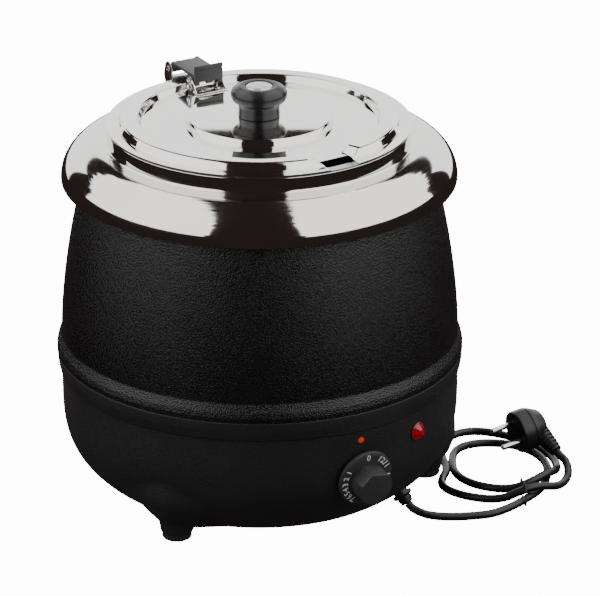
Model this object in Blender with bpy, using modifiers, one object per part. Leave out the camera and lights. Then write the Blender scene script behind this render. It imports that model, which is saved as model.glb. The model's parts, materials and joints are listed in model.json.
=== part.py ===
"""Ten-litre wet-heat soup kettle, built piece by piece in Blender.

Units are metres and +Z is up. The dial faces -Y. The body stands on three feet round its own vertical axis,
the pot hangs in a water pan inside it, and a hinged lid rides on the pot's rim.
"""

import math

import bmesh
import bpy
from mathutils import Matrix, Vector

# Fits
TOUCH = 0.0003  # between pieces that rest on each other
RUNNING = 0.0003  # between a turning piece and its bore

# Body, as heights above the floor and radii about the axis
FOOT_H = 0.006
SEAM_Z = 0.123  # joint between the base and the upper shell
SHOULDER_Z = 0.3035  # flat of the crown ring
CROWN_TOP_Z = 0.3166
BEAD_R = 0.170  # widest ring of the body
SHELL_R = 0.166
SHELL_TAPER = 0.0264  # by how much the shell is narrower at its top
SHELL_TAPER_POWER = 1.72
SHELL_WALL = 0.0010
FLARE_H = 0.015
CROWN_R = 0.164
CROWN_DOME_R = 0.1345  # where the dome starts to fall away
CROWN_ROUNDNESS = 2.2  # 2 is an ellipse, and more is squarer
CROWN_DROP = 0.0295
CROWN_LIP_H = 0.0027
CROWN_WALL = 0.0008
MOUTH_R = 0.1240

# Base
BASE_WALL = 0.003
COLLAR_H = 0.016
COLLAR_FOOT_R = 0.168
BOWL_R = 0.1663
BOWL_TOP_Z = 0.095
BOWL_FLOOR_R = 0.122
BOWL_FLOOR_Z = 0.007
BOWL_POWER = 3.5
BASE_BOTTOM_Z = 0.009
BASE_OPENING_R = 0.108
SPIGOT_H = 0.005
SPIGOT_WALL = 0.0025
LEG_PITCH_R = 0.140
LEG_ANGLES = (-60.0, 60.0, 180.0)
LEG_FOOT_R = 0.0134
LEG_ROOT_R = 0.0200
LEG_ROOT_Z = 0.048
PAD_R = 0.0123
FOOT_SCREW_R = 0.0020
FOOT_SCREW_L = 0.016
COVER_T = 0.0012
COVER_R = 0.1175
COVER_SCREW_PITCH_R = 0.1128
COVER_SCREW_ANGLES = (0.0, 120.0, 240.0)
COVER_SCREW_R = 0.0015
COVER_SCREW_L = 0.008
COVER_BOSS_R = 0.0045
COVER_BOSS_H = 0.009
VENT_COUNT = 8
VENT_PITCH_R = 0.065
VENT_L = 0.026
VENT_W = 0.004

# Pot and water pan
POT_R = 0.1150
POT_DEPTH = 0.2370
POT_WALL = 0.0008
POT_CORNER_R = 0.018
RIM_WALL = 0.0010
RIM_OVERHANG = 0.0010  # of the pot's rim past the mouth
WATER_GAP_R = 0.0052
WATER_GAP_FLOOR = 0.015
PAN_WALL = 0.0008
PAN_CORNER_R = 0.014
PAN_FLANGE = 0.014
SEAL_T = 0.0020
SEAL_W = 0.007

# Heater and its clamp
HEATER_R = 0.080
HEATER_TUBE_R = 0.0040
HEATER_GAP_DEG = 24.0
HEATER_TURN_DEG = 20.0  # where the loop's open end points
HEATER_LEG_DROP = 0.020
PLATE_R = 0.092
PLATE_T = 0.0012
STUD_R = 0.003
STUD_L = 0.022
NUT_R = 0.0058
NUT_T = 0.005
CUTOUT_R = 0.008
CUTOUT_H = 0.006
CUTOUT_AT = (-0.038, 0.030)
BULB_R = 0.0030
BULB_L = 0.060
BULB_Y = -0.040
CAPILLARY_R = 0.0009

# Dial and thermostat
DIAL_Z = 0.064
DIAL_TILT_DEG = 10.0
SKIRT_R = 0.0245
SKIRT_T = 0.0040
SKIRT_GAP = 0.0010
GRIP_R = 0.0148
GRIP_H = 0.016
GRIP_FLATS = ((12.0, 0.0127), (-46.0, 0.0137))  # turn from the top, and distance from the axis
SPINDLE_R = 0.0030
SPINDLE_IN_BODY = 0.009
SPINDLE_IN_KNOB = 0.011
BUSH_R = 0.0050
BUSH_HOLE_R = 0.0054
PLATE_SET_BACK = 0.0065  # from the bowl's face to the thermostat's mounting plate
PLATE_SIZE = (0.044, 0.020, 0.0012)
THERMOSTAT_SIZE = (0.030, 0.032, 0.020)
PLATE_SCREW_X = 0.018
PLATE_BOSS_R = 0.0040
PLATE_SCREW_R = 0.0013
PLATE_SCREW_HEAD_R = 0.0028
PLATE_SCREW_HEAD_H = 0.0020

# Index dot, pilot lamp and gland
DOT_Z = 0.0980
DOT_ANGLE = -1.3
DOT_R = 0.0036
DOT_T = 0.0012
DOT_STEM_R = 0.0016
LAMP_Z = 0.0875
LAMP_ANGLE = 20.0
LAMP_R = 0.0075
LAMP_LENS_H = 0.0065
LAMP_BARREL_R = 0.0048
LAMP_BARREL_L = 0.009
LAMP_BODY_R = 0.0062
LAMP_BODY_L = 0.020
LAMP_NUT_R = 0.0085
LAMP_NUT_T = 0.003
GLAND_Z = 0.022
GLAND_ANGLE = 23.7
GLAND_OUT = 0.0110
GLAND_FLANGE_R = 0.0085
GLAND_FLANGE_T = 0.0035
GLAND_TIP_R = 0.0052
GLAND_SHANK_R = 0.0062
GLAND_SHANK_L = 0.0100
GLAND_NUT_R = 0.0095
GLAND_NUT_T = 0.0035
CORD_R = 0.0035

# Terminal block and earth screw, on the bottom cover
BLOCK_SIZE = (0.030, 0.016, 0.014)
BLOCK_AT = (0.040, -0.052)
EARTH_AT = (0.010, -0.070)
EARTH_R = 0.002
EARTH_H = 0.012

# Lid, in its own frame: the hinge is at +Y
POT_TURN_DEG = -1.5  # the pot hangs in the well at any turn
LID_WALL = 0.0009
LID_R = 0.1260
LID_BAND_H = 0.0060
LID_BAND_OUT_R = 0.1168
LID_BAND_TOP_OUT_R = 0.1142
LID_BAND_TOP_IN_R = 0.0997
LID_BAND_IN_R = 0.0978
LID_DISC_FOOT_R = 0.0618
LID_DISC_TOP_R = 0.0600
LID_HOLE_R = 0.0028
NOTCH_W = 0.028
NOTCH_IN_R = 0.1070
NOTCH_TURN_DEG = 4.5
RELIEF_W = 0.034
RELIEF_Y = 0.1235

# Lid knob
KNOB_FOOT_R = 0.0170
KNOB_H = 0.0255
KNOB_HEAD_R = 0.0232
KNOB_NECK_R = 0.0158
KNOB_BORE_R = 0.0028
KNOB_BORE_L = 0.014
KNOB_CAP_R = 0.0118
KNOB_CAP_T = 0.0015
KNOB_CAP_STEM_R = 0.0020
KNOB_CAP_STEM_L = 0.004
KNOB_SCREW_R = 0.0024
KNOB_SCREW_L = 0.013
KNOB_SCREW_HEAD_R = 0.0048
KNOB_SCREW_HEAD_H = 0.0028
WASHER_R = 0.0080
WASHER_T = 0.0010

# Hinge: heights are over the lid's flange
HINGE_W = 0.0262  # the black arm
PIN_R = 0.0018
REAR_PIN_Y = 0.1320
REAR_PIN_H = 0.0082
FRONT_PIN_Y = 0.0955
FRONT_PIN_H = 0.0088
ARM_FRONT_Y = 0.0860
ARM_REAR_Y = 0.1290
ARM_TOP_H = 0.0152
ARM_PLATE_T = 0.0024
THUMB_T = 0.0026
THUMB_TOP_H = 0.0230
THUMB_LOW_H = 0.0090
ARM_WEB_T = 0.0030
LEAF_T = 0.0010
LEAF_FRONT_Y = 0.0800
LEAF_REAR_Y = 0.0962
LEAF_TOP_H = 0.0130
RIVET_R = 0.0016
RIVET_HEAD_R = 0.0030
RIVET_HEAD_H = 0.0010
RIVET_X = 0.0075
RIVET_Y = 0.0860
EAR_T = 0.0012
EAR_TOP_R = 0.0062
EAR_BACK_Y = 0.1400
EAR_FRONT_Y = 0.1252
EAR_LOW_H = -0.0100
TAB_W = 0.0240
TAB_REAR_Y = 0.1380
CLAMP_H = 0.0048
CLAMP_FRONT_Y = 0.1272
CLAMP_REAR_Y = 0.1352
CLAMP_SCREW_R = 0.0013
CLAMP_SCREW_HEAD_R = 0.0026
CLAMP_SCREW_HEAD_H = 0.0014
CLAMP_SCREW_L = 0.007

# Plug, given from the kettle's axis at floor level
PLUG_FACE = (0.1995, -0.0908, 0.0273)
PIN_DIRECTION = (-0.985, 0.077, -0.153)
TAIL_END = (0.2219, -0.1197, 0.0162)
PLUG_R = 0.0185
PLUG_DEPTH = 0.0160
PLUG_BACK_R = 0.0120
PLUG_BACK = 0.0100
TAIL_ROOT_R = 0.0085
TAIL_TIP_R = 0.0052
PLUG_PIN_R = 0.0024
PLUG_PIN_L = 0.0190
PLUG_PIN_PITCH = 0.0190
CORD_STEP = 0.0165  # between the tube's own points
TIE_R = 0.0007
TIE_STEP = 0.0045

# The cord's route from the gland's mouth to the plug's tail, in millimetres from the kettle's axis at floor
# level: the lead, an inner turn, an outer turn over the lead, and the rise to the plug. Both lists are in a
# frame turned by ROUTE_TURN_DEG about the axis, so that its X runs through the middle of the coil.
ROUTE_TURN_DEG = -30.5
CORD_ROUTE_MM = (
    (129.0, -92.5, 9.3), (136.0, -95.0, 7.0), (146.0, -95.6, 5.2), (160.0, -94.5, 4.0),
    (177.0, -92.3, 3.8), (193.0, -88.7, 4.2), (207.0, -80.0, 5.2), (218.5, -68.5, 5.8),
    (228.0, -55.0, 5.2), (235.5, -40.5, 4.0), (240.5, -25.0, 3.8), (243.5, -9.0, 3.8),
    (243.8, 7.0, 3.8), (240.5, 22.0, 3.8), (233.5, 35.0, 3.8), (223.5, 45.0, 3.8),
    (210.5, 51.8, 3.8), (196.0, 54.0, 3.8), (182.0, 51.5, 3.8), (171.5, 44.0, 3.8),
    (165.8, 32.5, 3.8), (164.0, 19.0, 3.8), (163.8, 5.0, 3.8), (166.0, -8.5, 3.8),
    (171.5, -20.0, 3.8), (180.0, -29.5, 3.8), (191.0, -36.0, 3.8), (203.5, -39.5, 3.9),
    (216.0, -39.8, 5.4), (228.0, -36.5, 9.0), (238.5, -29.5, 11.6), (246.0, -19.5, 10.2),
    (250.5, -7.5, 6.4), (252.3, 6.0, 3.9), (250.5, 21.0, 3.8), (245.0, 35.5, 3.8),
    (236.5, 48.5, 3.8), (225.5, 60.0, 3.8), (212.0, 69.5, 3.8), (197.5, 76.5, 3.8),
    (183.0, 78.5, 3.8), (170.5, 73.5, 3.8), (161.5, 62.5, 3.8), (156.5, 48.5, 3.8),
    (155.0, 34.0, 3.8), (156.2, 20.0, 3.8), (158.0, 8.0, 3.8), (157.8, -4.0, 3.8),
    (154.6, -16.0, 3.8), (153.0, -28.5, 3.8), (157.0, -40.0, 3.8), (166.5, -49.5, 3.8),
    (178.5, -56.0, 3.8), (191.5, -59.8, 3.9), (204.0, -61.2, 5.6), (214.0, -60.6, 9.6),
    (223.0, -58.8, 12.6), (232.0, -55.0, 13.2), (241.0, -49.0, 10.6), (249.0, -40.5, 6.8),
    (255.5, -30.0, 4.8), (260.0, -18.0, 5.2), (261.0, -7.0, 8.2), (258.6, 2.0, 12.0),
)
TIE_ROUTE_MM = (
    (219.4, -33.0, 6.6), (219.5, -35.0, 10.8), (219.8, -39.6, 12.4), (220.3, -49.0, 14.0),
    (220.9, -58.0, 17.8), (221.5, -64.5, 16.6), (221.9, -69.0, 12.6), (222.0, -72.0, 7.5),
    (221.8, -71.4, 3.6), (221.4, -66.0, 0.9), (220.4, -52.0, 1.0), (219.6, -40.0, 0.8),
    (219.5, -35.2, 2.4),
)

# Sizes that follow from those above
RIM_UNDER_Z = CROWN_TOP_Z + TOUCH
RIM_TOP_Z = RIM_UNDER_Z + RIM_WALL
LID_UNDER_Z = RIM_TOP_Z + TOUCH
LID_FLANGE_Z = LID_UNDER_Z + LID_WALL
POT_OUT_R = POT_R + POT_WALL
POT_FLOOR_Z = RIM_TOP_Z - POT_DEPTH - POT_WALL
PAN_IN_R = POT_OUT_R + WATER_GAP_R
PAN_OUT_R = PAN_IN_R + PAN_WALL
PAN_UNDER_Z = POT_FLOOR_Z - WATER_GAP_FLOOR - PAN_WALL
SEAL_TOP_Z = SHOULDER_Z - CROWN_WALL - TOUCH
SEAL_LOW_Z = SEAL_TOP_Z - SEAL_T
PAN_FLANGE_TOP_Z = SEAL_LOW_Z - TOUCH
SHELL_TOP_Z = PAN_FLANGE_TOP_Z - PAN_WALL - TOUCH
CROWN_CORNER_R = MOUTH_R + 0.0055
HEATER_Z = PAN_UNDER_Z - TOUCH - HEATER_TUBE_R
HEATER_PLATE_TOP_Z = HEATER_Z - HEATER_TUBE_R - TOUCH
COVER_TOP_Z = BASE_BOTTOM_Z - TOUCH
DIAL_FRONT_H = SKIRT_GAP + SKIRT_T + GRIP_H
LID_TOP_Z = LID_FLANGE_Z + LID_BAND_H
ARM_HALF = HINGE_W / 2
LEAF_HALF = ARM_HALF + TOUCH + LEAF_T
BRACKET_HALF = ARM_HALF + TOUCH + EAR_T

SEGMENTS_LARGE = 32
SEGMENTS_HIDDEN = 24
SEGMENTS_SMALL = 12


def shell_radius(z):
    """The shell's outer radius at a height, over its flare."""
    low = SEAM_Z + FLARE_H
    share = max(0.0, (z - low) / (SHELL_TOP_Z - low))
    return SHELL_R - SHELL_TAPER * share**SHELL_TAPER_POWER


def bowl_radius(z):
    """The base bowl's outer radius at a height."""
    share = max(0.0, (BOWL_TOP_Z - z) / (BOWL_TOP_Z - BOWL_FLOOR_Z))
    return BOWL_FLOOR_R + (BOWL_R - BOWL_FLOOR_R) * (1 - min(1.0, share) ** BOWL_POWER)


def bowl_tilt(z):
    """The angle by which the bowl's surface faces downwards at a height, in radians."""
    step = 0.0005
    return math.atan2(bowl_radius(z + step) - bowl_radius(z - step), 2 * step)


# The axis stands behind the origin so that the body with its dial is centred on it.
DIAL_REACH = bowl_radius(DIAL_Z) + DIAL_FRONT_H * math.cos(math.radians(DIAL_TILT_DEG)) + GRIP_R * math.sin(
    math.radians(DIAL_TILT_DEG)
)
AXIS_Y = (DIAL_REACH - BEAD_R) / 2


class Scene:
    """The collections, the frames that pieces are placed in, and the materials."""

    def __init__(self):
        for old in list(bpy.data.objects):
            bpy.data.objects.remove(old, do_unlink=True)
        self.parts = bpy.data.collections.new("soup_kettle")
        self.cutters = bpy.data.collections.new("cutters")
        for collection in (self.parts, self.cutters):
            bpy.context.scene.collection.children.link(collection)
        self.homes = {}
        self.axis = self.frame("kettle_axis", Matrix.Translation((0, AXIS_Y, 0)))
        self.pot_frame = self.frame("pot_frame", Matrix.Rotation(math.radians(POT_TURN_DEG), 4, "Z"), self.axis)
        hinge = Matrix.Translation((0, REAR_PIN_Y, LID_FLANGE_Z + REAR_PIN_H))
        self.lid_frame = self.frame("lid_hinge", hinge, self.pot_frame)
        self.homes["lid_hinge"] = hinge.inverted()
        self.materials = {}

    def frame(self, name, matrix, parent=None):
        empty = bpy.data.objects.new(name, None)
        self.parts.objects.link(empty)
        empty.parent = parent
        empty.matrix_local = matrix
        return empty

    def material(self, name, color, roughness, metallic=0.0):
        if name not in self.materials:
            made = bpy.data.materials.new(name)
            made.use_nodes = True
            shader = made.node_tree.nodes["Principled BSDF"]
            shader.inputs["Base Color"].default_value = (*color, 1.0)
            shader.inputs["Roughness"].default_value = roughness
            shader.inputs["Metallic"].default_value = metallic
            made.diffuse_color = (*color, 1.0)
            self.materials[name] = made
        return self.materials[name]

    def add(self, name, mesh, parent, finish, matrix=None, cutter=False):
        """Links a mesh as an object in a frame, as a part or as a cutter.

        What rides on the lid's hinge is given from the pot's frame, and homes brings it to the hinge.
        """
        obj = bpy.data.objects.new(name, mesh)
        (self.cutters if cutter else self.parts).objects.link(obj)
        obj.parent = parent
        obj.matrix_local = self.homes.get(parent.name, Matrix()) @ (matrix or Matrix())
        if cutter:
            obj.hide_render = True
            obj.display_type = "WIRE"
        else:
            mesh.materials.append(finish)
        return obj


SCENE = Scene()
BLACK_STEEL = SCENE.material("black_powder_coat", (0.022, 0.022, 0.024), 0.45)
BLACK_PLASTIC = SCENE.material("satin_black_plastic", (0.045, 0.045, 0.048), 0.42)
MIRROR_STEEL = SCENE.material("mirror_steel", (0.78, 0.77, 0.76), 0.06, 1.0)
BRUSHED_STEEL = SCENE.material("brushed_steel", (0.62, 0.62, 0.61), 0.28, 1.0)
PLAIN_STEEL = SCENE.material("zinc_plated_steel", (0.55, 0.55, 0.52), 0.35, 1.0)
HEATER_STEEL = SCENE.material("heater_sheath", (0.30, 0.29, 0.28), 0.4, 1.0)
RUBBER = SCENE.material("black_rubber", (0.018, 0.018, 0.018), 0.75)
SILICONE = SCENE.material("silicone_seal", (0.55, 0.52, 0.48), 0.6)
RED_LENS = SCENE.material("red_lens", (0.65, 0.02, 0.03), 0.15)
RED_PAINT = SCENE.material("red_index", (0.90, 0.06, 0.04), 0.4)
WHITE_NYLON = SCENE.material("white_nylon", (0.75, 0.74, 0.70), 0.5)
COPPER = SCENE.material("copper", (0.72, 0.38, 0.24), 0.3, 1.0)
NICKEL = SCENE.material("nickel_plate", (0.72, 0.70, 0.66), 0.2, 1.0)


# Ways of making a mesh


def mesh_of(name, build):
    """A mesh that build(bm) fills, shaded smooth with sharp edges past 35 degrees."""
    mesh = bpy.data.meshes.new(name)
    bm = bmesh.new()
    build(bm)
    bm.to_mesh(mesh)
    bm.free()
    return mesh


def smooth(obj, angle=35.0):
    obj.data.shade_smooth()
    obj.data.set_sharp_from_angle(angle=math.radians(angle))
    return obj


def fillet(corners, steps=1):
    """A profile whose corners (r, z, radius) are rounded with arcs of the given number of steps."""
    points = []
    for i, (r, z, radius) in enumerate(corners):
        here = Vector((r, z))
        if radius <= 0 or i in (0, len(corners) - 1):
            points.append((r, z))
            continue
        back = Vector(corners[i - 1][:2]) - here
        ahead = Vector(corners[i + 1][:2]) - here
        half = back.angle(ahead) / 2
        reach = min(radius / math.tan(half), 0.49 * back.length, 0.49 * ahead.length)
        bend = reach * math.tan(half)
        centre = here + (back.normalized() + ahead.normalized()).normalized() * (bend / math.sin(half))
        first = here + back.normalized() * reach - centre
        last = here + ahead.normalized() * reach - centre
        sweep = first.angle_signed(last)
        for k in range(steps + 1):
            turned = Matrix.Rotation(-sweep * k / steps, 2) @ first
            points.append(tuple(centre + turned))
    return points


def offset(profile, distance):
    """The profile moved to the right of its own direction, which is inwards on one that runs down."""
    moved = []
    for i, point in enumerate(profile):
        before = Vector(profile[max(0, i - 1)])
        after = Vector(profile[min(len(profile) - 1, i + 1)])
        along = (after - before).normalized()
        moved.append((point[0] + along.y * distance, point[1] - along.x * distance))
    return moved


def turned(name, profile, parent, finish, steps=SEGMENTS_SMALL, wall=0.0, ring=False, matrix=None, cutter=False):
    """A turned piece: a profile (r, z) down its outer side, revolved by a Screw, thickened inwards by wall."""

    def build(bm):
        points = [bm.verts.new((r, 0, z)) for r, z in profile]
        for first, second in zip(points, points[1:]):
            bm.edges.new((first, second))
        if ring:
            bm.edges.new((points[-1], points[0]))

    obj = SCENE.add(name, mesh_of(name, build), parent, finish, matrix, cutter)
    screw = obj.modifiers.new("turn", "SCREW")
    screw.axis = "Z"
    screw.angle = math.tau
    screw.steps = screw.render_steps = steps
    screw.use_merge_vertices = True
    screw.merge_threshold = 0.00001
    screw.use_smooth_shade = True
    if wall:
        shell = obj.modifiers.new("wall", "SOLIDIFY")
        shell.thickness = wall
        shell.offset = -1
        shell.use_even_offset = True
    return obj


def box(name, low, high, parent, finish, bevel=0.0, matrix=None, cutter=False):
    """A box between two corners of its frame, with its edges bevelled."""
    size = Vector(high) - Vector(low)
    centre = (Vector(high) + Vector(low)) / 2

    def build(bm):
        bmesh.ops.create_cube(bm, size=1.0)
        bmesh.ops.scale(bm, vec=size, verts=bm.verts)
        bmesh.ops.translate(bm, vec=centre, verts=bm.verts)

    obj = SCENE.add(name, mesh_of(name, build), parent, finish, matrix, cutter)
    if bevel:
        edge = obj.modifiers.new("edges", "BEVEL")
        edge.width = bevel
        edge.segments = 1
        edge.limit_method = "ANGLE"
    return obj


def cone(name, low_r, high_r, low_z, high_z, parent, finish, sides=SEGMENTS_SMALL, matrix=None, cutter=False):
    """A cylinder or a cone along Z of its frame."""

    def build(bm):
        bmesh.ops.create_cone(
            bm, cap_ends=True, segments=sides, radius1=low_r, radius2=high_r, depth=high_z - low_z
        )
        bmesh.ops.translate(bm, vec=(0, 0, (high_z + low_z) / 2), verts=bm.verts)

    return smooth(SCENE.add(name, mesh_of(name, build), parent, finish, matrix, cutter))


def plate(name, outline, low, high, parent, finish, matrix=None, cutter=False):
    """A flat outline (u, v) as a filled 2D curve, extruded along its frame's Z from low to high, as a mesh."""
    curve = bpy.data.curves.new(name, "CURVE")
    curve.dimensions = "2D"
    curve.fill_mode = "BOTH"
    curve.extrude = (high - low) / 2
    spline = curve.splines.new("POLY")
    spline.points.add(len(outline) - 1)
    for point, (u, v) in zip(spline.points, outline):
        point.co = (u, v, 0.0, 1.0)
    spline.use_cyclic_u = True
    guide = bpy.data.objects.new(name, curve)
    SCENE.parts.objects.link(guide)
    graph = bpy.context.evaluated_depsgraph_get()
    mesh = bpy.data.meshes.new_from_object(guide.evaluated_get(graph))
    bpy.data.objects.remove(guide, do_unlink=True)
    bm = bmesh.new()
    bm.from_mesh(mesh)
    bmesh.ops.remove_doubles(bm, verts=bm.verts, dist=0.00001)
    bmesh.ops.translate(bm, vec=(0, 0, (high + low) / 2), verts=bm.verts)
    bm.to_mesh(mesh)
    bm.free()
    mesh.materials.clear()
    return SCENE.add(name, mesh, parent, finish, matrix, cutter)


def join(obj, operation, tools):
    """Adds a Boolean with each tool, in order."""
    for tool in tools:
        step = obj.modifiers.new(tool.name, "BOOLEAN")
        step.operation = operation
        step.object = tool
    return obj


def cut(obj, *tools):
    return join(obj, "DIFFERENCE", tools)


def unite(obj, *tools):
    return join(obj, "UNION", tools)


def tube(name, points, radius, parent, finish, closed=False, radii=None):
    """A round bar along points, as a curve with a bevel and filled caps."""
    curve = bpy.data.curves.new(name, "CURVE")
    curve.dimensions = "3D"
    curve.bevel_depth = radius
    curve.bevel_resolution = 2
    curve.use_fill_caps = not closed
    spline = curve.splines.new("POLY")
    spline.points.add(len(points) - 1)
    for i, point in enumerate(points):
        spline.points[i].co = (*point, 1.0)
        spline.points[i].radius = radii[i] if radii else 1.0
    spline.use_cyclic_u = closed
    return SCENE.add(name, curve, parent, finish)


def smooth_route(points, step, closed=False):
    """Points about one step apart on a smooth curve through the given points."""
    points = [Vector(p) for p in points]
    count = len(points)
    dense = []
    for i in range(count if closed else count - 1):
        if closed:
            a, b, c, d = (points[(i + k) % count] for k in (-1, 0, 1, 2))
        else:
            b, c = points[i], points[i + 1]
            a = points[i - 1] if i else b * 2 - c
            d = points[i + 2] if i + 2 < count else c * 2 - b
        for k in range(12):
            t = k / 12
            dense.append(
                0.5 * (2 * b + (c - a) * t + (2 * a - 5 * b + 4 * c - d) * t**2 + (3 * b - a - 3 * c + d) * t**3)
            )
    dense.append(points[0] if closed else points[-1])
    lengths = [0.0]
    for first, second in zip(dense, dense[1:]):
        lengths.append(lengths[-1] + (second - first).length)
    pieces = max(2, round(lengths[-1] / step))
    route, at = [], 0
    for k in range(pieces if closed else pieces + 1):
        wanted = lengths[-1] * k / pieces
        while at < len(lengths) - 2 and lengths[at + 1] < wanted:
            at += 1
        share = (wanted - lengths[at]) / (lengths[at + 1] - lengths[at])
        route.append(dense[at].lerp(dense[at + 1], share))
    return route


def hand_route(points_mm):
    """A route chosen by hand, in metres in the kettle's frame."""
    turn = Matrix.Rotation(math.radians(ROUTE_TURN_DEG), 3, "Z")
    return [turn @ Vector(point) / 1000 for point in points_mm]


def around(angle_deg, radius, z=0.0):
    """A point at an angle from the front, counter-clockwise seen from above."""
    angle = math.radians(angle_deg)
    return Vector((radius * math.sin(angle), -radius * math.cos(angle), z))


def facing(angle_deg, radius, z, tilt_rad=0.0):
    """A frame whose Z points outwards from the axis at an angle, tilted downwards, and whose Y points up."""
    turn = Matrix.Rotation(math.radians(angle_deg), 4, "Z")
    lean = Matrix.Rotation(math.pi / 2 + tilt_rad, 4, "X")
    return Matrix.Translation(around(angle_deg, radius, z)) @ turn @ lean


def screw_piece(name, shank_r, length, head_r, head_h, parent, finish, matrix=None):
    """A screw along -Z with the underside of its head at z = 0."""
    profile = [
        (0, head_h),
        (head_r * 0.8, head_h),
        (head_r, head_h * 0.5),
        (head_r, 0),
        (shank_r, 0),
        (shank_r, -length + shank_r),
        (0, -length),
    ]
    return turned(name, profile, parent, finish, 12, matrix=matrix)


# Sub-assemblies


def build_base():
    """The moulded bowl with its legs and bosses, the feet, the bottom cover and their screws."""
    axis = SCENE.axis
    top_z = SEAM_Z - TOUCH
    heights = [BOWL_TOP_Z - k * (BOWL_TOP_Z - BASE_BOTTOM_Z) / 6 for k in range(7)]
    bowl = [(bowl_radius(z), z) for z in heights]
    collar_z = SEAM_Z - COLLAR_H
    collar = [
        (BEAD_R, top_z - 0.001),
        (BEAD_R - 0.0006, SEAM_Z - COLLAR_H * 0.55),
        (COLLAR_FOOT_R, collar_z),
        (BOWL_R, collar_z - 0.0015),
    ]
    spigot_r = BEAD_R - SHELL_WALL - TOUCH - 0.0035
    outside = [(0, SEAM_Z + SPIGOT_H), (spigot_r, SEAM_Z + SPIGOT_H), (spigot_r, top_z), (BEAD_R - 0.001, top_z)]
    outside += collar + bowl + [(0, BASE_BOTTOM_Z)]
    shell = turned("base_shell", outside, axis, BLACK_PLASTIC, SEGMENTS_LARGE)
    for i, angle in enumerate(LEG_ANGLES):
        leg = cone(
            f"leg_{i + 1}", LEG_FOOT_R, LEG_ROOT_R, FOOT_H + TOUCH, LEG_ROOT_Z, axis, None, 20,
            Matrix.Translation(around(angle, LEG_PITCH_R)), cutter=True,
        )
        unite(shell, leg)
    inner = offset([(BOWL_R, collar_z)] + bowl[:-1], BASE_WALL)
    floor_z = BASE_BOTTOM_Z + BASE_WALL
    inner = [point for point in inner if point[1] > floor_z + 0.001]
    cavity = [(0, SEAM_Z + 0.02), (spigot_r - SPIGOT_WALL, SEAM_Z + 0.02), (spigot_r - SPIGOT_WALL, top_z)]
    cavity += inner + [(bowl_radius(floor_z) - BASE_WALL, floor_z), (BASE_OPENING_R, floor_z)]
    cavity += [(BASE_OPENING_R, 0), (0, 0)]
    cut(shell, turned("base_cavity", cavity, axis, None, SEGMENTS_LARGE, cutter=True))
    bosses = [
        cone(
            f"cover_boss_{i + 1}", COVER_BOSS_R, COVER_BOSS_R, BASE_BOTTOM_Z + 0.001, floor_z + COVER_BOSS_H,
            axis, None, 12, Matrix.Translation(around(angle, COVER_SCREW_PITCH_R)), cutter=True,
        )
        for i, angle in enumerate(COVER_SCREW_ANGLES)
    ]
    dial = dial_frame()
    for side in (-1, 1):
        bosses.append(
            cone(
                f"plate_boss_{'left' if side < 0 else 'right'}", PLATE_BOSS_R, PLATE_BOSS_R,
                -PLATE_SET_BACK + TOUCH, -BASE_WALL / 2, axis, None, 12,
                dial @ Matrix.Translation((side * PLATE_SCREW_X, 0, 0)), cutter=True,
            )
        )
    unite(shell, *bosses)
    foot_bore = FOOT_SCREW_R + TOUCH
    cover_bore = COVER_SCREW_R + TOUCH
    cover_bore_top = BASE_BOTTOM_Z + COVER_SCREW_L + 0.001
    plate_bore = PLATE_SCREW_R + TOUCH
    stem = DOT_STEM_R + TOUCH
    barrel = LAMP_BARREL_R + TOUCH
    shank = GLAND_SHANK_R + TOUCH
    foot_bores = [
        cone(
            f"foot_bore_{i + 1}", foot_bore, foot_bore, 0, FOOT_H + FOOT_SCREW_L, axis, None, 12,
            Matrix.Translation(around(angle, LEG_PITCH_R)), cutter=True,
        )
        for i, angle in enumerate(LEG_ANGLES)
    ]
    cover_bores = [
        cone(
            f"cover_bore_{i + 1}", cover_bore, cover_bore, 0, cover_bore_top, axis, None, 12,
            Matrix.Translation(around(angle, COVER_SCREW_PITCH_R)), cutter=True,
        )
        for i, angle in enumerate(COVER_SCREW_ANGLES)
    ]
    plate_bores = [
        cone(
            f"plate_bore_{word}", plate_bore, plate_bore, -PLATE_SET_BACK - 0.002, -BASE_WALL * 0.55, axis, None, 12,
            dial @ Matrix.Translation((side * PLATE_SCREW_X, 0, 0)), cutter=True,
        )
        for side, word in ((-1, "left"), (1, "right"))
    ]
    wall_holes = [
        cone("spindle_hole", BUSH_HOLE_R, BUSH_HOLE_R, -0.02, 0.02, axis, None, 24, dial, cutter=True),
        cone("dot_hole", stem, stem, -0.01, 0.01, axis, None, 12, dot_frame(), cutter=True),
        cone("lamp_hole", barrel, barrel, -0.02, 0.02, axis, None, 16, lamp_frame(), cutter=True),
        cone("gland_hole", shank, shank, -0.03, 0.02, axis, None, 16, gland_frame(), cutter=True),
    ]
    cut(shell, *foot_bores, *cover_bores, *plate_bores, *wall_holes)

    pad = [
        (FOOT_SCREW_R + 0.0006, FOOT_H), (PAD_R, FOOT_H), (PAD_R, 0.0018), (PAD_R - 0.0018, 0.0),
        (0.0052, 0.0), (0.0052, 0.0030), (FOOT_SCREW_R + 0.0006, 0.0030),
    ]
    for i, angle in enumerate(LEG_ANGLES):
        place = Matrix.Translation(around(angle, LEG_PITCH_R))
        turned(f"foot_{i + 1}", pad, axis, RUBBER, SEGMENTS_SMALL, ring=True, matrix=place)
        upside = place @ Matrix.Translation((0, 0, 0.0030 - TOUCH)) @ Matrix.Rotation(math.pi, 4, "X")
        screw_piece(f"foot_screw_{i + 1}", FOOT_SCREW_R, FOOT_SCREW_L, 0.0038, 0.0020, axis, PLAIN_STEEL, upside)

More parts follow.
